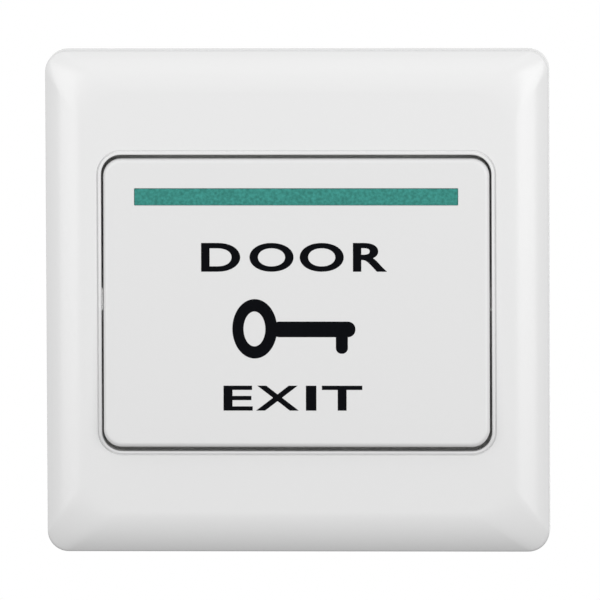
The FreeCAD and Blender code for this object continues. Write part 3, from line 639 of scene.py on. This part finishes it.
@dataclass(frozen=True)
class MouldedAbs(Finish):
    """Injection moulded ABS: even, glossy, with the faint waviness of a polished mould."""

    grain_height: float = 0.03

    def make(self) -> None:
        """Makes the material."""
        surface = Surface(self)
        wave = surface.noise(size=9.0, detail=1.0)
        grain = surface.noise(size=0.6, detail=3.0)
        surface.waver(grain, down=0.03, up=0.04)
        height = add_node(
            surface.tree,
            "ShaderNodeMath",
            {0: grain, 2: wave},
            {1: self.grain_height},
            operation="MULTIPLY_ADD",
        )
        surface.bump(height.outputs[0], depth=0.012)


@dataclass(frozen=True)
class SparkedNylon(Finish):
    """Nylon from a spark eroded mould: matt, finely pitted, a little cloudy in colour."""

    def make(self) -> None:
        """Makes the material."""
        surface = Surface(self)
        pits = surface.noise(size=0.35, detail=4.0)
        surface.mottle(surface.noise(size=12.0, detail=2.0))
        surface.waver(pits, down=0.08, up=0.08)
        surface.bump(pits, depth=0.03)


@dataclass(frozen=True)
class PhosphorStrip(Finish):
    """Pigmented glow film: green, faintly mottled by its crystals, with a satin skin."""

    def make(self) -> None:
        """Makes the material."""
        surface = Surface(self)
        surface.mottle(surface.noise(size=0.55, detail=6.0))
        surface.bump(surface.noise(size=0.25, detail=2.0), depth=0.01)


@dataclass(frozen=True)
class ScreenInk(Finish):
    """Screen printed ink: near black, slightly uneven where the film is thin."""

    def make(self) -> None:
        """Makes the material."""
        surface = Surface(self)
        film = surface.noise(size=0.5, detail=3.0)
        surface.mottle(film)
        surface.waver(film, down=0.15, up=0.0)


@dataclass(frozen=True)
class WorkedMetal(Finish):
    """Rolled, drawn or plated metal: bright, with duller patches and a grain along its length."""

    metallic: float = 1.0
    stretch: Place = (1, 1, 1)

    def make(self) -> None:
        """Makes the material."""
        surface = Surface(self)
        grain = surface.noise(size=0.3, detail=4.0, stretch=self.stretch)
        surface.mottle(surface.noise(size=2.5, detail=3.0))
        surface.waver(grain, down=0.07, up=0.09)
        surface.bump(grain, depth=0.006)


FINISHES = (
    MouldedAbs(Material.FRAME, 0.22, "EEEEEE", ior=1.53),
    MouldedAbs(Material.BUTTON, 0.36, "E9E9E9", ior=1.53),
    SparkedNylon(Material.NYLON, 0.55, "E4E3DC", "DAD9D2", 1.53),
    SparkedNylon(Material.SWITCH, 0.5, "D9D9D4", "CFCFCA", 1.53),
    SparkedNylon(Material.ACETAL, 0.35, "EFEDE6", "E5E3DC", 1.48),
    PhosphorStrip(Material.STRIP, 0.5, "3B998F", "24756B", 1.36),
    ScreenInk(Material.INK, 0.75, "050609", "0B0C11", 1.12),
    WorkedMetal(Material.SPRING, 0.3, "B9BABC", "A2A3A6"),
    WorkedMetal(Material.BRASS, 0.3, "DDBE7C", "C9A866", stretch=(1, 1, 0.1)),
    WorkedMetal(Material.BRONZE, 0.28, "D2A077", "BD8A62", stretch=(0.1, 1, 1)),
    WorkedMetal(Material.COPPER, 0.3, "DB9874", "C08062"),
    WorkedMetal(Material.SILVER, 0.25, "E4E2DC", "CFCCC4"),
    WorkedMetal(Material.ZINC, 0.32, "C9CCD0", "B4B8BE"),
)


@dataclass(frozen=True)
class Panel:
    """Sizes that several pieces share. The tilt is in degrees."""

    side: float = 86.0
    height: float = 8.2
    opening_width: float = 66.7
    opening_height: float = 50.8
    opening_radius: float = 3.4
    rim_rise: float = 0.25
    plate_side: float = 78.0
    plate_thickness: float = 2.4
    hinge_height: float = 5.4
    hinge_rise: float = 19.5
    rest_tilt: float = 2.2
    contact_rise: float = -5.0


@dataclass
class FrontFrame:
    """The snap-on frame: curved shoulder, rim, groove, collar, ribs and hooks."""

    panel: Panel
    outline_radius: float = 3.6
    shoulder_width: float = 7.2
    shoulder_slope: float = math.radians(42)
    face_radius: float = 6.5
    edge_radius: float = 0.8
    wall: float = 2.0
    hollow_steps: int = 6
    rim_width: float = 0.5
    groove_width: float = 0.2
    groove_depth: float = 0.25
    collar_wall: float = 1.2
    collar_depth: float = 3.6
    lip_round: float = 0.12
    rib_wall: float = 1.0
    rib_taper: float = 0.985
    side_rib_rise: float = 14.0
    end_rib_across: float = 20.0
    hook_across: float = 22.0
    hook_width: float = 7.0
    hook_wall: float = 1.2
    hook_reach: float = 0.8
    hook_gap: float = 0.15
    hook_slope: float = 0.75
    ledge: float = 1.2
    inner_edge: float = 0.12
    pry_width: float = 10.0
    pry_height: float = 1.2

    def __post_init__(self) -> None:
        """Works out the shoulder's arc."""
        self.edge_inset = self.edge_radius * (1 - math.sin(self.shoulder_slope))
        self.bend = (self.shoulder_width - self.edge_inset) / math.sin(self.shoulder_slope)
        foot = self.panel.height - self.bend * (1 - math.cos(self.shoulder_slope))
        self.side_top = foot - self.edge_radius * math.cos(self.shoulder_slope)

    def level_outline(self, inset: float, level: float) -> Outline:
        """The frame's outline at a level.

        Args:
            inset: How far in from its side it runs.
            level: The level.

        Returns:
            The outline, whose corners grow rounder towards the face.
        """
        growth = (self.face_radius - self.outline_radius) * inset / self.shoulder_width
        side = self.panel.side - 2 * inset
        return Outline(side, side, self.outline_radius + growth, level)

    def shoulder(self, angle: float, wall: float = 0.0) -> Outline:
        """The shoulder's outline where it slopes by an angle.

        Args:
            angle: The slope in radians.
            wall: How far under the surface it runs, for the hollow behind it.

        Returns:
            The outline.
        """
        inset = self.edge_inset + self.bend * (math.sin(self.shoulder_slope) - math.sin(angle))
        level = self.panel.height - self.bend * (1 - math.cos(angle)) - wall * math.cos(angle)
        outer = self.level_outline(inset, level)
        shift = wall * math.sin(angle)
        return Outline(outer.width - 2 * shift, outer.height - 2 * shift, outer.radius - shift, level)

    def opening(self, offset: float, level: float) -> Outline:
        """An outline round the opening, this far out from its edge."""
        width, height = self.panel.opening_width + 2 * offset, self.panel.opening_height + 2 * offset
        return Outline(width, height, self.panel.opening_radius + offset, level)

    def outlines(self) -> list[Outline]:
        """The whole wall of the frame.

        Returns:
            Its outlines from the rear rim over the front and back inside, without the last
            step of the hollow, where the side wall takes over.
        """
        slope = self.shoulder_slope
        stack = [self.level_outline(0.0, 0.0)]
        for step in range(EDGE_STEPS + 1):
            angle = QUARTER_TURN - (QUARTER_TURN - slope) * step / EDGE_STEPS
            inset = self.edge_radius * (1 - math.sin(angle))
            stack.append(self.level_outline(inset, self.side_top + self.edge_radius * math.cos(angle)))
        for step in range(1, SHOULDER_STEPS + 1):
            stack.append(self.shoulder(slope * (1 - step / SHOULDER_STEPS)))
        face = self.panel.height
        lip = face + self.panel.rim_rise
        rim = self.rim_width
        groove = rim + self.groove_width
        floor = face - self.groove_depth
        foot = face - self.collar_depth
        soft = self.lip_round
        section = (
            (groove + soft, face),
            (groove, face - soft),
            (groove, floor),
            (rim, floor),
            (rim, lip - soft),
            (rim - soft / 3, lip - soft / 3),
            (rim - soft, lip),
            (soft, lip),
            (soft / 3, lip - soft / 3),
            (0.0, lip - soft),
            (0.0, foot),
            (self.collar_wall, foot),
            (self.collar_wall, face - self.wall),
        )
        stack += [self.opening(offset, level) for offset, level in section]
        shares = [step / self.hollow_steps for step in range(self.hollow_steps - 1)]
        stack += [self.shoulder(slope * share, self.wall) for share in shares]
        inner = self.panel.side - 2 * self.wall
        radius = self.outline_radius - self.wall
        return stack + [Outline(inner, inner, radius, level) for level in (stack[-1].level, 0.0)]

    def ribs(self) -> list[Thing]:
        """Thin drafted ribs that seat the frame on the mounting plate.

        Returns:
            The ribs.
        """
        panel = self.panel
        level = (panel.plate_thickness, panel.height - self.wall + OVERLAP)
        far = panel.side / 2 - self.wall + OVERLAP
        side_near = panel.opening_width / 2 + self.collar_wall / 2
        end_near = panel.opening_height / 2 + self.collar_wall / 2
        made = []
        for sign, side in QUARTERS:
            rise = about(sign * self.side_rib_rise, self.rib_wall)
            made.append(block("rib", sided(side, side_near, far), rise, level))
            across = about(sign * self.end_rib_across, self.rib_wall)
            made.append(block("rib", across, sided(side, end_near, far), level))
        for rib in made:
            self.draft(rib)
        return made

    def draft(self, rib: Thing) -> None:
        """Narrows a rib's foot a little, as a mould needs.

        Args:
            rib: The rib.
        """
        foot = -self.panel.plate_thickness * MM
        with Editing(rib) as edit:
            edit.pick_faces(lambda centre, normal: abs(centre.y - foot) < NEAR)
            bpy.ops.transform.resize(value=(self.rib_taper, 1, self.rib_taper))

    def hook(self, side: int, end: int) -> Thing:
        """One snap hook: a leg with a catch drawn out of its inner face.

        Args:
            side: 1 for the right half of the frame, and -1 for the left.
            end: 1 for its top, and -1 for its bottom.

        Returns:
            The hook.
        """
        face = self.panel.plate_side / 2 + self.hook_gap
        across = about(side * self.hook_across, self.hook_width)
        rise = sided(end, face, face + self.hook_wall)
        leg = block("hook", across, rise, (self.hook_gap, self.panel.height - self.wall))
        catch = (self.hook_gap, self.ledge - self.hook_gap)
        return barbed(leg, end, end * face, catch, self.hook_reach, self.hook_slope)

    def build(self) -> None:
        """Models the frame and puts it in place of its CAD node."""
        shell = skinned("frame_shell", self.outlines(), ring=True)
        low = -self.panel.side / 2
        rise = (low - CLEARANCE, low + self.wall + CLEARANCE)
        notch = block("notch", about(0.0, self.pry_width), rise, (-CLEARANCE, self.pry_height))
        combined(shell, notch, Change.CUT)
        hooks = [self.hook(side, end) for side, end in QUARTERS]
        inner = joined("frame_inner", [*self.ribs(), *hooks])
        softened(inner, self.inner_edge)
        softened(shell, 0.0)
        whole = joined("front_frame_shell", [shell, inner])
        dressed(whole, Material.FRAME, "base", "frame_plastic", "front_frame")


@dataclass
class PushPlate:
    """The hinged push plate with its strip. Its rise and level are taken from the hinge."""

    panel: Panel
    side_gap: float = 0.38
    end_gap: float = 0.75
    depth: float = 4.0
    skin: float = 1.8
    wall: float = 1.6
    edge_radius: float = 0.8
    least_radius: float = 0.4
    skirt_chamfer: float = 0.1
    rib_wall: float = 1.2
    rib_height: float = 1.2
    rib_across: float = 11.0
    strip_length: float = 55.2
    strip_width: float = 2.8
    strip_radius: float = 0.08
    strip_drop: float = 6.55
    strip_depth: float = 0.6
    strip_gap: float = 0.06
    strip_seat: float = 0.01
    strip_round: float = 0.06
    recess_chamfer: float = 0.05
    lug_across: float = 22.0
    lug_width: float = 2.4
    lug_radius: float = 2.2
    pin_radius: float = 1.5
    pin_reach: float = 4.9
    pin_edge: float = 0.2
    pusher_radius: float = 3.0
    pusher_height: float = 1.5
    catch_across: float = 10.0
    catch_width: float = 5.0
    catch_wall: float = 1.2
    catch_reach: float = 1.0
    catch_nose: float = 1.2
    catch_slope: float = 0.8
    catch_inset: float = 1.5
    catch_gap: float = 0.1
    inner_edge: float = 0.08

    def __post_init__(self) -> None:
        """Works out the plate's outline and levels over the hinge axis."""
        panel = self.panel
        self.width = panel.opening_width - 2 * self.side_gap
        self.height = panel.opening_height - 2 * self.end_gap
        self.radius = panel.opening_radius - self.side_gap
        self.top = self.height / 2 - panel.hinge_rise
        self.tilt = math.radians(panel.rest_tilt)
        rim = panel.height + panel.rim_rise
        self.face = rim - panel.hinge_height + self.top * math.sin(self.tilt)
        self.underside = self.face - self.skin
        self.skirt = self.face - self.depth
        self.centre = -panel.hinge_rise

    def hung(self, thing: Thing) -> Thing:
        """Moves a piece from the plate's own frame to its place at rest.

        Args:
            thing: The piece.

        Returns:
            The same piece.
        """
        thing.rotation_euler = (-self.tilt, 0, 0)
        thing.location = (0, -self.panel.hinge_height * MM, self.panel.hinge_rise * MM)
        return settle(thing)

    def ring(self, inset: float, level: float) -> Outline:
        """The plate's outline, this far in from its side."""
        radius = max(self.radius - inset, self.least_radius)
        return Outline(
            self.width - 2 * inset, self.height - 2 * inset, radius, level, rise=self.centre
        )

    def recess(self, gap: float, level: float) -> Outline:
        """The outline of the strip, with this gap round it."""
        length, width = self.strip_length + 2 * gap, self.strip_width + 2 * gap
        return Outline(length, width, self.strip_radius + gap, level, rise=self.top - self.strip_drop)

    def shell(self) -> Thing:
        """The plate's panel and skirt with the recess for the strip.

        Returns:
            The shell.
        """
        soft = self.skirt_chamfer
        stack = [
            self.ring(self.wall, self.underside),
            self.ring(self.wall, self.skirt + soft),
            self.ring(self.wall - soft, self.skirt),
            self.ring(soft, self.skirt),
            self.ring(0.0, self.skirt + soft),
        ]
        for step in range(ROUND_STEPS + 1):
            angle = QUARTER_TURN * step / ROUND_STEPS
            inset = self.edge_radius * (1 - math.cos(angle))
            stack.append(self.ring(inset, self.face - self.edge_radius * (1 - math.sin(angle))))
        stack += [
            self.recess(self.strip_gap + self.recess_chamfer, self.face),
            self.recess(self.strip_gap, self.face - self.recess_chamfer),
            self.recess(self.strip_gap, self.face - self.strip_depth),
        ]
        return softened(skinned("push_shell", stack), 0.0)

    def inner_parts(self) -> list[Thing]:
        """Ribs, hinge lugs with their pins, the two catches and the pusher boss.

        Returns:
            The parts, each rooted in the plate's skin.
        """
        root = self.underside + self.skin / 3
        half = self.height / 2 - self.wall + OVERLAP
        rise = (self.centre - half, self.centre + half)
        made = []
        for side in SIDES:
            across = about(side * self.rib_across, self.rib_wall)
            made.append(block("rib", across, rise, (self.underside - self.rib_height, root)))
            made.append(self.lug(side, root))
            made.append(self.catch(side, root))
        middle = self.panel.contact_rise - self.panel.hinge_rise
        ends = (root, self.underside - self.pusher_height)
        made.append(skinned("pusher", [disc(self.pusher_radius, level, middle) for level in ends]))
        return made

    def lug(self, side: int, root: float) -> Thing:
        """A hinge arm with a round end, and its pin on the outer face.

        Args:
            side: 1 for the right, and -1 for the left.
            root: The level of its root.

        Returns:
            The lug.
        """
        arm = rod("lug", self.lug_radius, about(side * self.lug_across, self.lug_width))
        with Editing(arm) as edit:
            edit.pick_all()
            bpy.ops.mesh.bisect(
                plane_co=(0, 0, 0), plane_no=(0, -1, 0), clear_outer=True, use_fill=True
            )
            edit.pick_faces(lambda centre, normal: abs(normal.y) > FLAT and abs(centre.y) < NEAR)
            bpy.ops.mesh.extrude_region_move(TRANSFORM_OT_translate={"value": (0, -root * MM, 0)})
            edit.close_up()
        reach = sided(side, self.lug_across, self.lug_across + self.pin_reach)
        pin = rod("pin", self.pin_radius, reach)
        return joined("lug", [arm, softened(pin, self.pin_edge)])

    def catch(self, side: int, root: float) -> Thing:
        """A catch that reaches through its window and hooks behind the mounting plate.

        Args:
            side: 1 for the right, and -1 for the left.
            root: The level of its root.

        Returns:
            The catch.
        """
        near = self.top - self.height + self.wall + self.catch_inset
        shoulder = -self.panel.hinge_height - self.catch_gap + near * math.sin(self.tilt)
        end = shoulder - self.catch_nose
        across = about(side * self.catch_across, self.catch_width)
        leg = block("catch", across, (near, near + self.catch_wall), (end, root))
        return barbed(leg, 1, near, (end, shoulder), self.catch_reach, self.catch_slope)

    def strip(self) -> Thing:
        """The green strip, let in flush with the face.

        Returns:
            The strip.
        """
        soft = self.strip_round
        section = (
            (0.0, self.face - self.strip_depth + self.strip_seat),
            (0.0, self.face - soft),
            (-soft / 3, self.face - soft / 3),
            (-soft, self.face),
        )
        return softened(skinned("green_strip", [self.recess(*place) for place in section]), 0.0)

    def build(self) -> None:
        """Models the push plate and its strip."""
        shell = self.shell()
        inner = softened(joined("push_inner", self.inner_parts()), self.inner_edge)
        plate = self.hung(joined("push_plate", [shell, inner]))
        dressed(plate, Material.BUTTON, "push_plate", "button_plastic", "rocker_button")
        strip = self.hung(self.strip())
        dressed(strip, Material.STRIP, "push_plate", "green_strip", "glow_strip")


@dataclass
class Marks:
    """The printed words and the key sign on the push plate's face.

    The boxes of the sign are left, right, bottom and top. The weights thicken the letters.
    """

    plate: PushPlate
    film: float = 0.03
    cut: float = 4.0
    door: tuple[Span, ...] = ((-16.23, -9.55), (-7.97, -0.44), (0.61, 8.13), (9.70, 15.51))
    door_rise: Span = (5.33, 10.24)
    door_weight: float = 0.024
    way_out: tuple[Span, ...] = ((-12.46, -7.48), (-6.89, 0.39), (1.62, 3.40), (4.36, 11.25))
    way_out_rise: Span = (-18.41, -14.15)
    way_out_weight: float = 0.017
    bow: Box = (-10.92, -3.28, -9.51, 0.65)
    eye: Box = (-9.02, -5.28, -7.43, -1.47)
    shaft: Box = (-4.2, 10.10, -5.86, -3.19)
    shaft_radius: float = 1.3
    bit: Box = (6.76, 8.80, -8.69, -4.0)
    bit_radius: float = 0.98

    def fitted(self, thing: Thing, box: Box, films: float = 1.0) -> Thing:
        """Fits a flat mesh into a box of the face.

        Args:
            thing: The mesh, which faces -Y.
            box: Left, right, bottom and top.
            films: Its thickness in films of ink, half of it over the level of the print.

        Returns:
            The same object.
        """
        left, right, bottom, top = box
        low, high = extent(thing)
        span = high - low
        thick = films * self.film * MM / span.y
        thing.scale = ((right - left) * MM / span.x, thick, (top - bottom) * MM / span.z)
        settle(thing)
        low, high = extent(thing)
        level = self.plate.face + self.film / 2
        rise = bottom - self.plate.panel.hinge_rise
        thing.location = (left * MM - low.x, -level * MM - (low.y + high.y) / 2, rise * MM - low.z)
        return settle(thing)

    def letter(self, sign: str, weight: float) -> Thing:
        """One letter as a flat mesh.

        Args:
            sign: The letter.
            weight: How much its strokes are thickened.

        Returns:
            The letter.
        """
        text = added(bpy.ops.object.text_add, rotation=(QUARTER_TURN, 0, 0))
        text.data.body = sign
        text.data.offset = weight
        text.data.resolution_u = LETTER_STEPS
        text.data.extrude = self.film
        bpy.ops.object.convert(target="MESH")
        return settle(bpy.context.object)

    def word(self, name: str, signs: str, spans: Sequence[Span], rise: Span, weight: float) -> None:
        """A word whose letters are each fitted between two places across.

        Args:
            name: The piece's name.
            signs: The letters.
            spans: The left and right of each.
            rise: The bottom and top of all.
            weight: How much the strokes are thickened.
        """
        letters = [
            self.fitted(self.letter(sign, weight), (*span, *rise)) for sign, span in zip(signs, spans)
        ]
        word = self.plate.hung(joined(name, letters))
        dressed(word, Material.INK, "push_plate")

    def oval(self, box: Box, films: float = 1.0) -> Thing:
        """A flat oval that fills a box of the face, so many films of ink thick."""
        flat = added(
            bpy.ops.mesh.primitive_cylinder_add,
            vertices=OVAL_STEPS,
            radius=MM,
            depth=MM,
            rotation=(QUARTER_TURN, 0, 0),
        )
        return self.fitted(settle(flat), box, films)

    def bar(self, box: Box, radius: float) -> Thing:
        """A flat bar with round corners that fills a box of the face.

        Args:
            box: Left, right, bottom and top.
            radius: That of its corners.

        Returns:
            The bar.
        """
        left, right, bottom, top = box
        ends = [Outline(right - left, top - bottom, radius, level) for level in (-self.film, 0.0)]
        return self.fitted(skinned("bar", ends), box)

    def key(self) -> None:
        """A plain key sign: an oval bow with an oval eye, a shaft and one bit."""
        sign = self.oval(self.bow)
        combined(sign, self.oval(self.eye, self.cut), Change.CUT)
        for box, radius in ((self.shaft, self.shaft_radius), (self.bit, self.bit_radius)):
            combined(sign, self.bar(box, radius), Change.ADD)
        self.plate.hung(named(sign, "print_key"))
        dressed(sign, Material.INK, "push_plate")

    def build(self) -> None:
        """Prints DOOR, the key and EXIT."""
        self.word("print_door", "DOOR", self.door, self.door_rise, self.door_weight)
        self.word("print_exit", "EXIT", self.way_out, self.way_out_rise, self.way_out_weight)
        self.key()


@dataclass
class ReturnSpring:
    """Coil of round wire round the plunger's guide, pressed down as the plate goes in."""

    panel: Panel
    wire: float = 0.3
    wire_steps: int = 14
    radius: float = 4.96
    half_turns: int = 7
    half_turn_steps: int = 24
    length: float = 5.03
    pressed: float = 0.79

    def build(self) -> None:
        """Winds the coil by half turns from a round of wire, and stands it on the plate."""
        panel = self.panel
        start = (self.radius * MM, 0, 0)
        add = bpy.ops.mesh.primitive_circle_add
        round_of_wire = added(add, vertices=self.wire_steps, radius=self.wire * MM, location=start)
        coil = settle(named(round_of_wire, "return_coil"))
        apply_modifier(
            coil,
            "SCREW",
            axis="Y",
            angle=math.pi,
            iterations=self.half_turns,
            screw_offset=-(self.length - 2 * self.wire) / self.half_turns * MM,
            steps=self.half_turn_steps,
            render_steps=self.half_turn_steps,
            use_merge_vertices=True,
        )
        with Editing(coil) as edit:
            edit.pick_all()
            bpy.ops.mesh.fill_holes(sides=0)
            edit.close_up()
        seat = panel.plate_thickness + self.wire
        coil.location = (0, -seat * MM, panel.contact_rise * MM)
        softened(settle(coil), 0.0)
        dressed(coil, Material.SPRING, "base", "spring_steel", "return_spring")
        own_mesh(coil)


@dataclass(frozen=True)
class Inner:
    """An inner piece kept in the shape of its CAD node, with its edges softly broken."""

    node: str
    material: Material
    slot: str
    edge: float
    body: Optional[str] = "base"

    def build(self) -> Thing:
        """Copies the node, merges it, dissolves its facets and breaks its edges.

        Returns:
            The dressed copy.
        """
        only(frame["nodes"][self.node])
        bpy.ops.object.duplicate()
        copy = named(bpy.context.object, f"{self.node}_eased")
        for key in list(copy.keys()):
            del copy[key]
        bpy.ops.object.parent_clear(type="CLEAR_KEEP_TRANSFORM")
        settle(copy)
        with Editing(copy) as edit:
            edit.close_up()
            bpy.ops.mesh.dissolve_limited(angle_limit=FACET_ANGLE)
        softened(copy, self.edge)
        return dressed(copy, self.material, self.body, self.slot, self.node)


INNER_PIECES = (
    Inner("mounting_plate", Material.NYLON, "plate_nylon", 0.2),
    Inner("switch_housing", Material.SWITCH, "switch_nylon", 0.15),
    Inner("switch_cover", Material.SWITCH, "switch_nylon", 0.15),
    Inner("plunger", Material.ACETAL, "plunger_acetal", 0.12, "plunger"),
    Inner("common_terminal", Material.BRASS, "terminal_brass", 0.08),
    Inner("normally_open_terminal", Material.BRASS, "terminal_brass", 0.08),
    Inner("normally_closed_terminal", Material.BRASS, "terminal_brass", 0.08),
    Inner("leaf_rivet", Material.COPPER, "rivet_copper", 0.1),
    Inner("normally_open_contact", Material.SILVER, "contact_silver", 0.1),
    Inner("normally_closed_contact", Material.SILVER, "contact_silver", 0.1),
    Inner("terminal_clamps", Material.ZINC, "plated_steel", 0.08),
    Inner("terminal_screws", Material.ZINC, "plated_steel", 0.15),
    Inner("fixing_screws", Material.ZINC, "plated_steel", 0.12),
)


@dataclass
class ContactLeaf:
    """The springy leaf and its contacts, which bend between the rivet and the plunger."""

    panel: Panel
    rivet: float = -12.0
    stiff: float = 2.0
    free_end: float = 0.0
    bends: int = 12
    leaf_edge: float = 0.03
    contact_edge: float = 0.1

    def build(self) -> None:
        """Copies the leaf and its contacts, and gives the leaf crossings to bend at."""
        root = self.rivet + self.stiff
        leaf = Inner("contact_leaf", Material.BRONZE, "leaf_bronze", self.leaf_edge, None).build()
        with Editing(leaf) as edit:
            for step in range(1, self.bends):
                place = root + (self.free_end - root) * step / self.bends
                edit.pick_all()
                bpy.ops.mesh.bisect(plane_co=(place * MM, 0, 0), plane_no=(1, 0, 0))
        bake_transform(leaf)
        edge = self.contact_edge
        contacts = Inner("moving_contacts", Material.SILVER, "contact_silver", edge, None).build()
        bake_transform(contacts)


@dataclass(frozen=True)
class Lamp:
    """A square lamp turned to the object, in metres and watts."""

    name: str
    place: Place
    size: float
    watts: float

    def build(self) -> None:
        """Adds the lamp."""
        lamp = added(bpy.ops.object.light_add, type="AREA", location=self.place)
        lamp.name = self.name
        lamp.data.shape = "SQUARE"
        lamp.data.size = self.size
        lamp.data.energy = self.watts
        lamp.rotation_mode = "QUATERNION"
        lamp.rotation_quaternion = (-Vector(self.place)).to_track_quat("-Z", "Y")


@dataclass(frozen=True)
class Screen:
    """A flat stage piece in metres, turned about X, that is clear from behind.

    It has a colour for the camera, and another one for the light that it throws back, or none
    where it only shows.
    """

    name: str
    size: float
    place: Place
    turn: float
    seen: str
    thrown: Optional[str] = None

    def build(self) -> None:
        """Adds the piece and its paint."""
        turn = (self.turn, 0, 0)
        add = bpy.ops.mesh.primitive_plane_add
        piece = named(added(add, size=self.size, location=self.place, rotation=turn), self.name)
        made = bpy.data.materials.new(f"{self.name}_paint")
        made.use_nodes = True
        tree = made.node_tree
        tree.nodes.clear()
        path = add_node(tree, "ShaderNodeLightPath")
        side = add_node(tree, "ShaderNodeNewGeometry")
        clear = add_node(tree, "ShaderNodeBsdfTransparent").outputs[0]
        dull = clear
        if self.thrown:
            paint = {"Color": linear(self.thrown)}
            dull = add_node(tree, "ShaderNodeBsdfDiffuse", None, paint).outputs[0]
        pale = add_node(tree, "ShaderNodeBsdfDiffuse", None, {"Color": linear(self.seen)}).outputs[0]
        front = mixed(tree, path.outputs["Is Camera Ray"], dull, pale)
        both = mixed(tree, side.outputs["Backfacing"], front, clear)
        add_node(tree, "ShaderNodeOutputMaterial", {"Surface": both})
        piece.data.materials.append(made)


STAGE = (
    Screen("floor", 0.5, (0, 0, -0.09), 0.0, "F4F4F4", "9E9E9E"),
    Screen("wall_patch", 0.082, (0, 0.0004, 0), QUARTER_TURN, "D8D8D8"),
    Lamp("lamp_above", (0.0, -0.42, 0.58), 0.4, 0.17),
    Lamp("lamp_left", (-0.475, -0.566, 0.13), 0.5, 1.60),
    Lamp("lamp_right", (0.475, -0.566, 0.13), 0.5, 2.04),
)


@dataclass
class Studio:
    """Floor, wall patch, lamps, backdrop light and camera.

    The camera's distance is in metres, its angles in degrees, and the panel's middle lies at
    the origin's pixel of the photograph.
    """

    distance: float = 2.32
    azimuth: float = 2.7
    elevation: float = 5.39
    roll: float = 0.235
    sensor: float = 36.0
    reach: float = 100.0
    pixels_per_mm: float = 5.838
    photo_side: int = 600
    origin_pixel: Span = (298.82, 298.54)
    soft_light: float = 0.55
    backdrop: float = 1.0

    def world(self) -> None:
        """White for the camera and for reflections, and a soft grey light for the rest."""
        world = bpy.data.worlds.new("studio")
        bpy.context.scene.world = world
        world.use_nodes = True
        tree = world.node_tree
        tree.nodes.clear()
        path = add_node(tree, "ShaderNodeLightPath")
        shown = path.outputs["Is Camera Ray"]
        for kind in ("Is Glossy Ray", "Is Transmission Ray"):
            rays = {0: shown, 1: path.outputs[kind]}
            shown = add_node(tree, "ShaderNodeMath", rays, operation="MAXIMUM").outputs[0]
        lights = []
        for strength in (self.soft_light, self.backdrop):
            values = {"Color": linear("FFFFFF"), "Strength": strength}
            lights.append(add_node(tree, "ShaderNodeBackground", None, values).outputs[0])
        add_node(tree, "ShaderNodeOutputWorld", {"Surface": mixed(tree, shown, *lights)})

    def camera(self) -> None:
        """The camera at the photograph's viewing angle."""
        azimuth, elevation = math.radians(self.azimuth), math.radians(self.elevation)
        back = Vector(
            (
                math.sin(azimuth) * math.cos(elevation),
                -math.cos(azimuth) * math.cos(elevation),
                math.sin(elevation),
            )
        )
        right = Vector((math.cos(azimuth), math.sin(azimuth), 0))
        up = back.cross(right)
        middle = self.photo_side / 2
        shift_x = (middle - self.origin_pixel[0]) / self.pixels_per_mm * MM
        shift_y = (self.origin_pixel[1] - middle) / self.pixels_per_mm * MM
        target = right * shift_x + up * shift_y
        camera = added(bpy.ops.object.camera_add, location=target + back * self.distance)
        camera.rotation_mode = "QUATERNION"
        turned = (-back).to_track_quat("-Z", "Y")
        camera.rotation_quaternion = turned @ Quaternion((0, 0, 1), -math.radians(self.roll))
        half = middle / self.pixels_per_mm * MM
        camera.data.sensor_width = self.sensor
        camera.data.lens = self.sensor / 2 * self.distance / half
        camera.data.clip_end = self.reach
        bpy.context.scene.camera = camera

    def build(self) -> None:
        """Sets up the whole studio."""
        self.world()
        for piece in STAGE:
            piece.build()
        self.camera()
        bpy.context.scene.view_settings.view_transform = "Standard"


def main() -> None:
    """Builds the object's pieces and the studio."""
    logging.basicConfig(level=logging.INFO, format="%(message)s")
    for finish in FINISHES:
        finish.make()
    panel = Panel()
    plate = PushPlate(panel)
    parts = (FrontFrame(panel), plate, Marks(plate), ReturnSpring(panel), ContactLeaf(panel))
    for part in (*parts, *INNER_PIECES, Studio()):
        part.build()


if __name__ == "__main__":
    main()
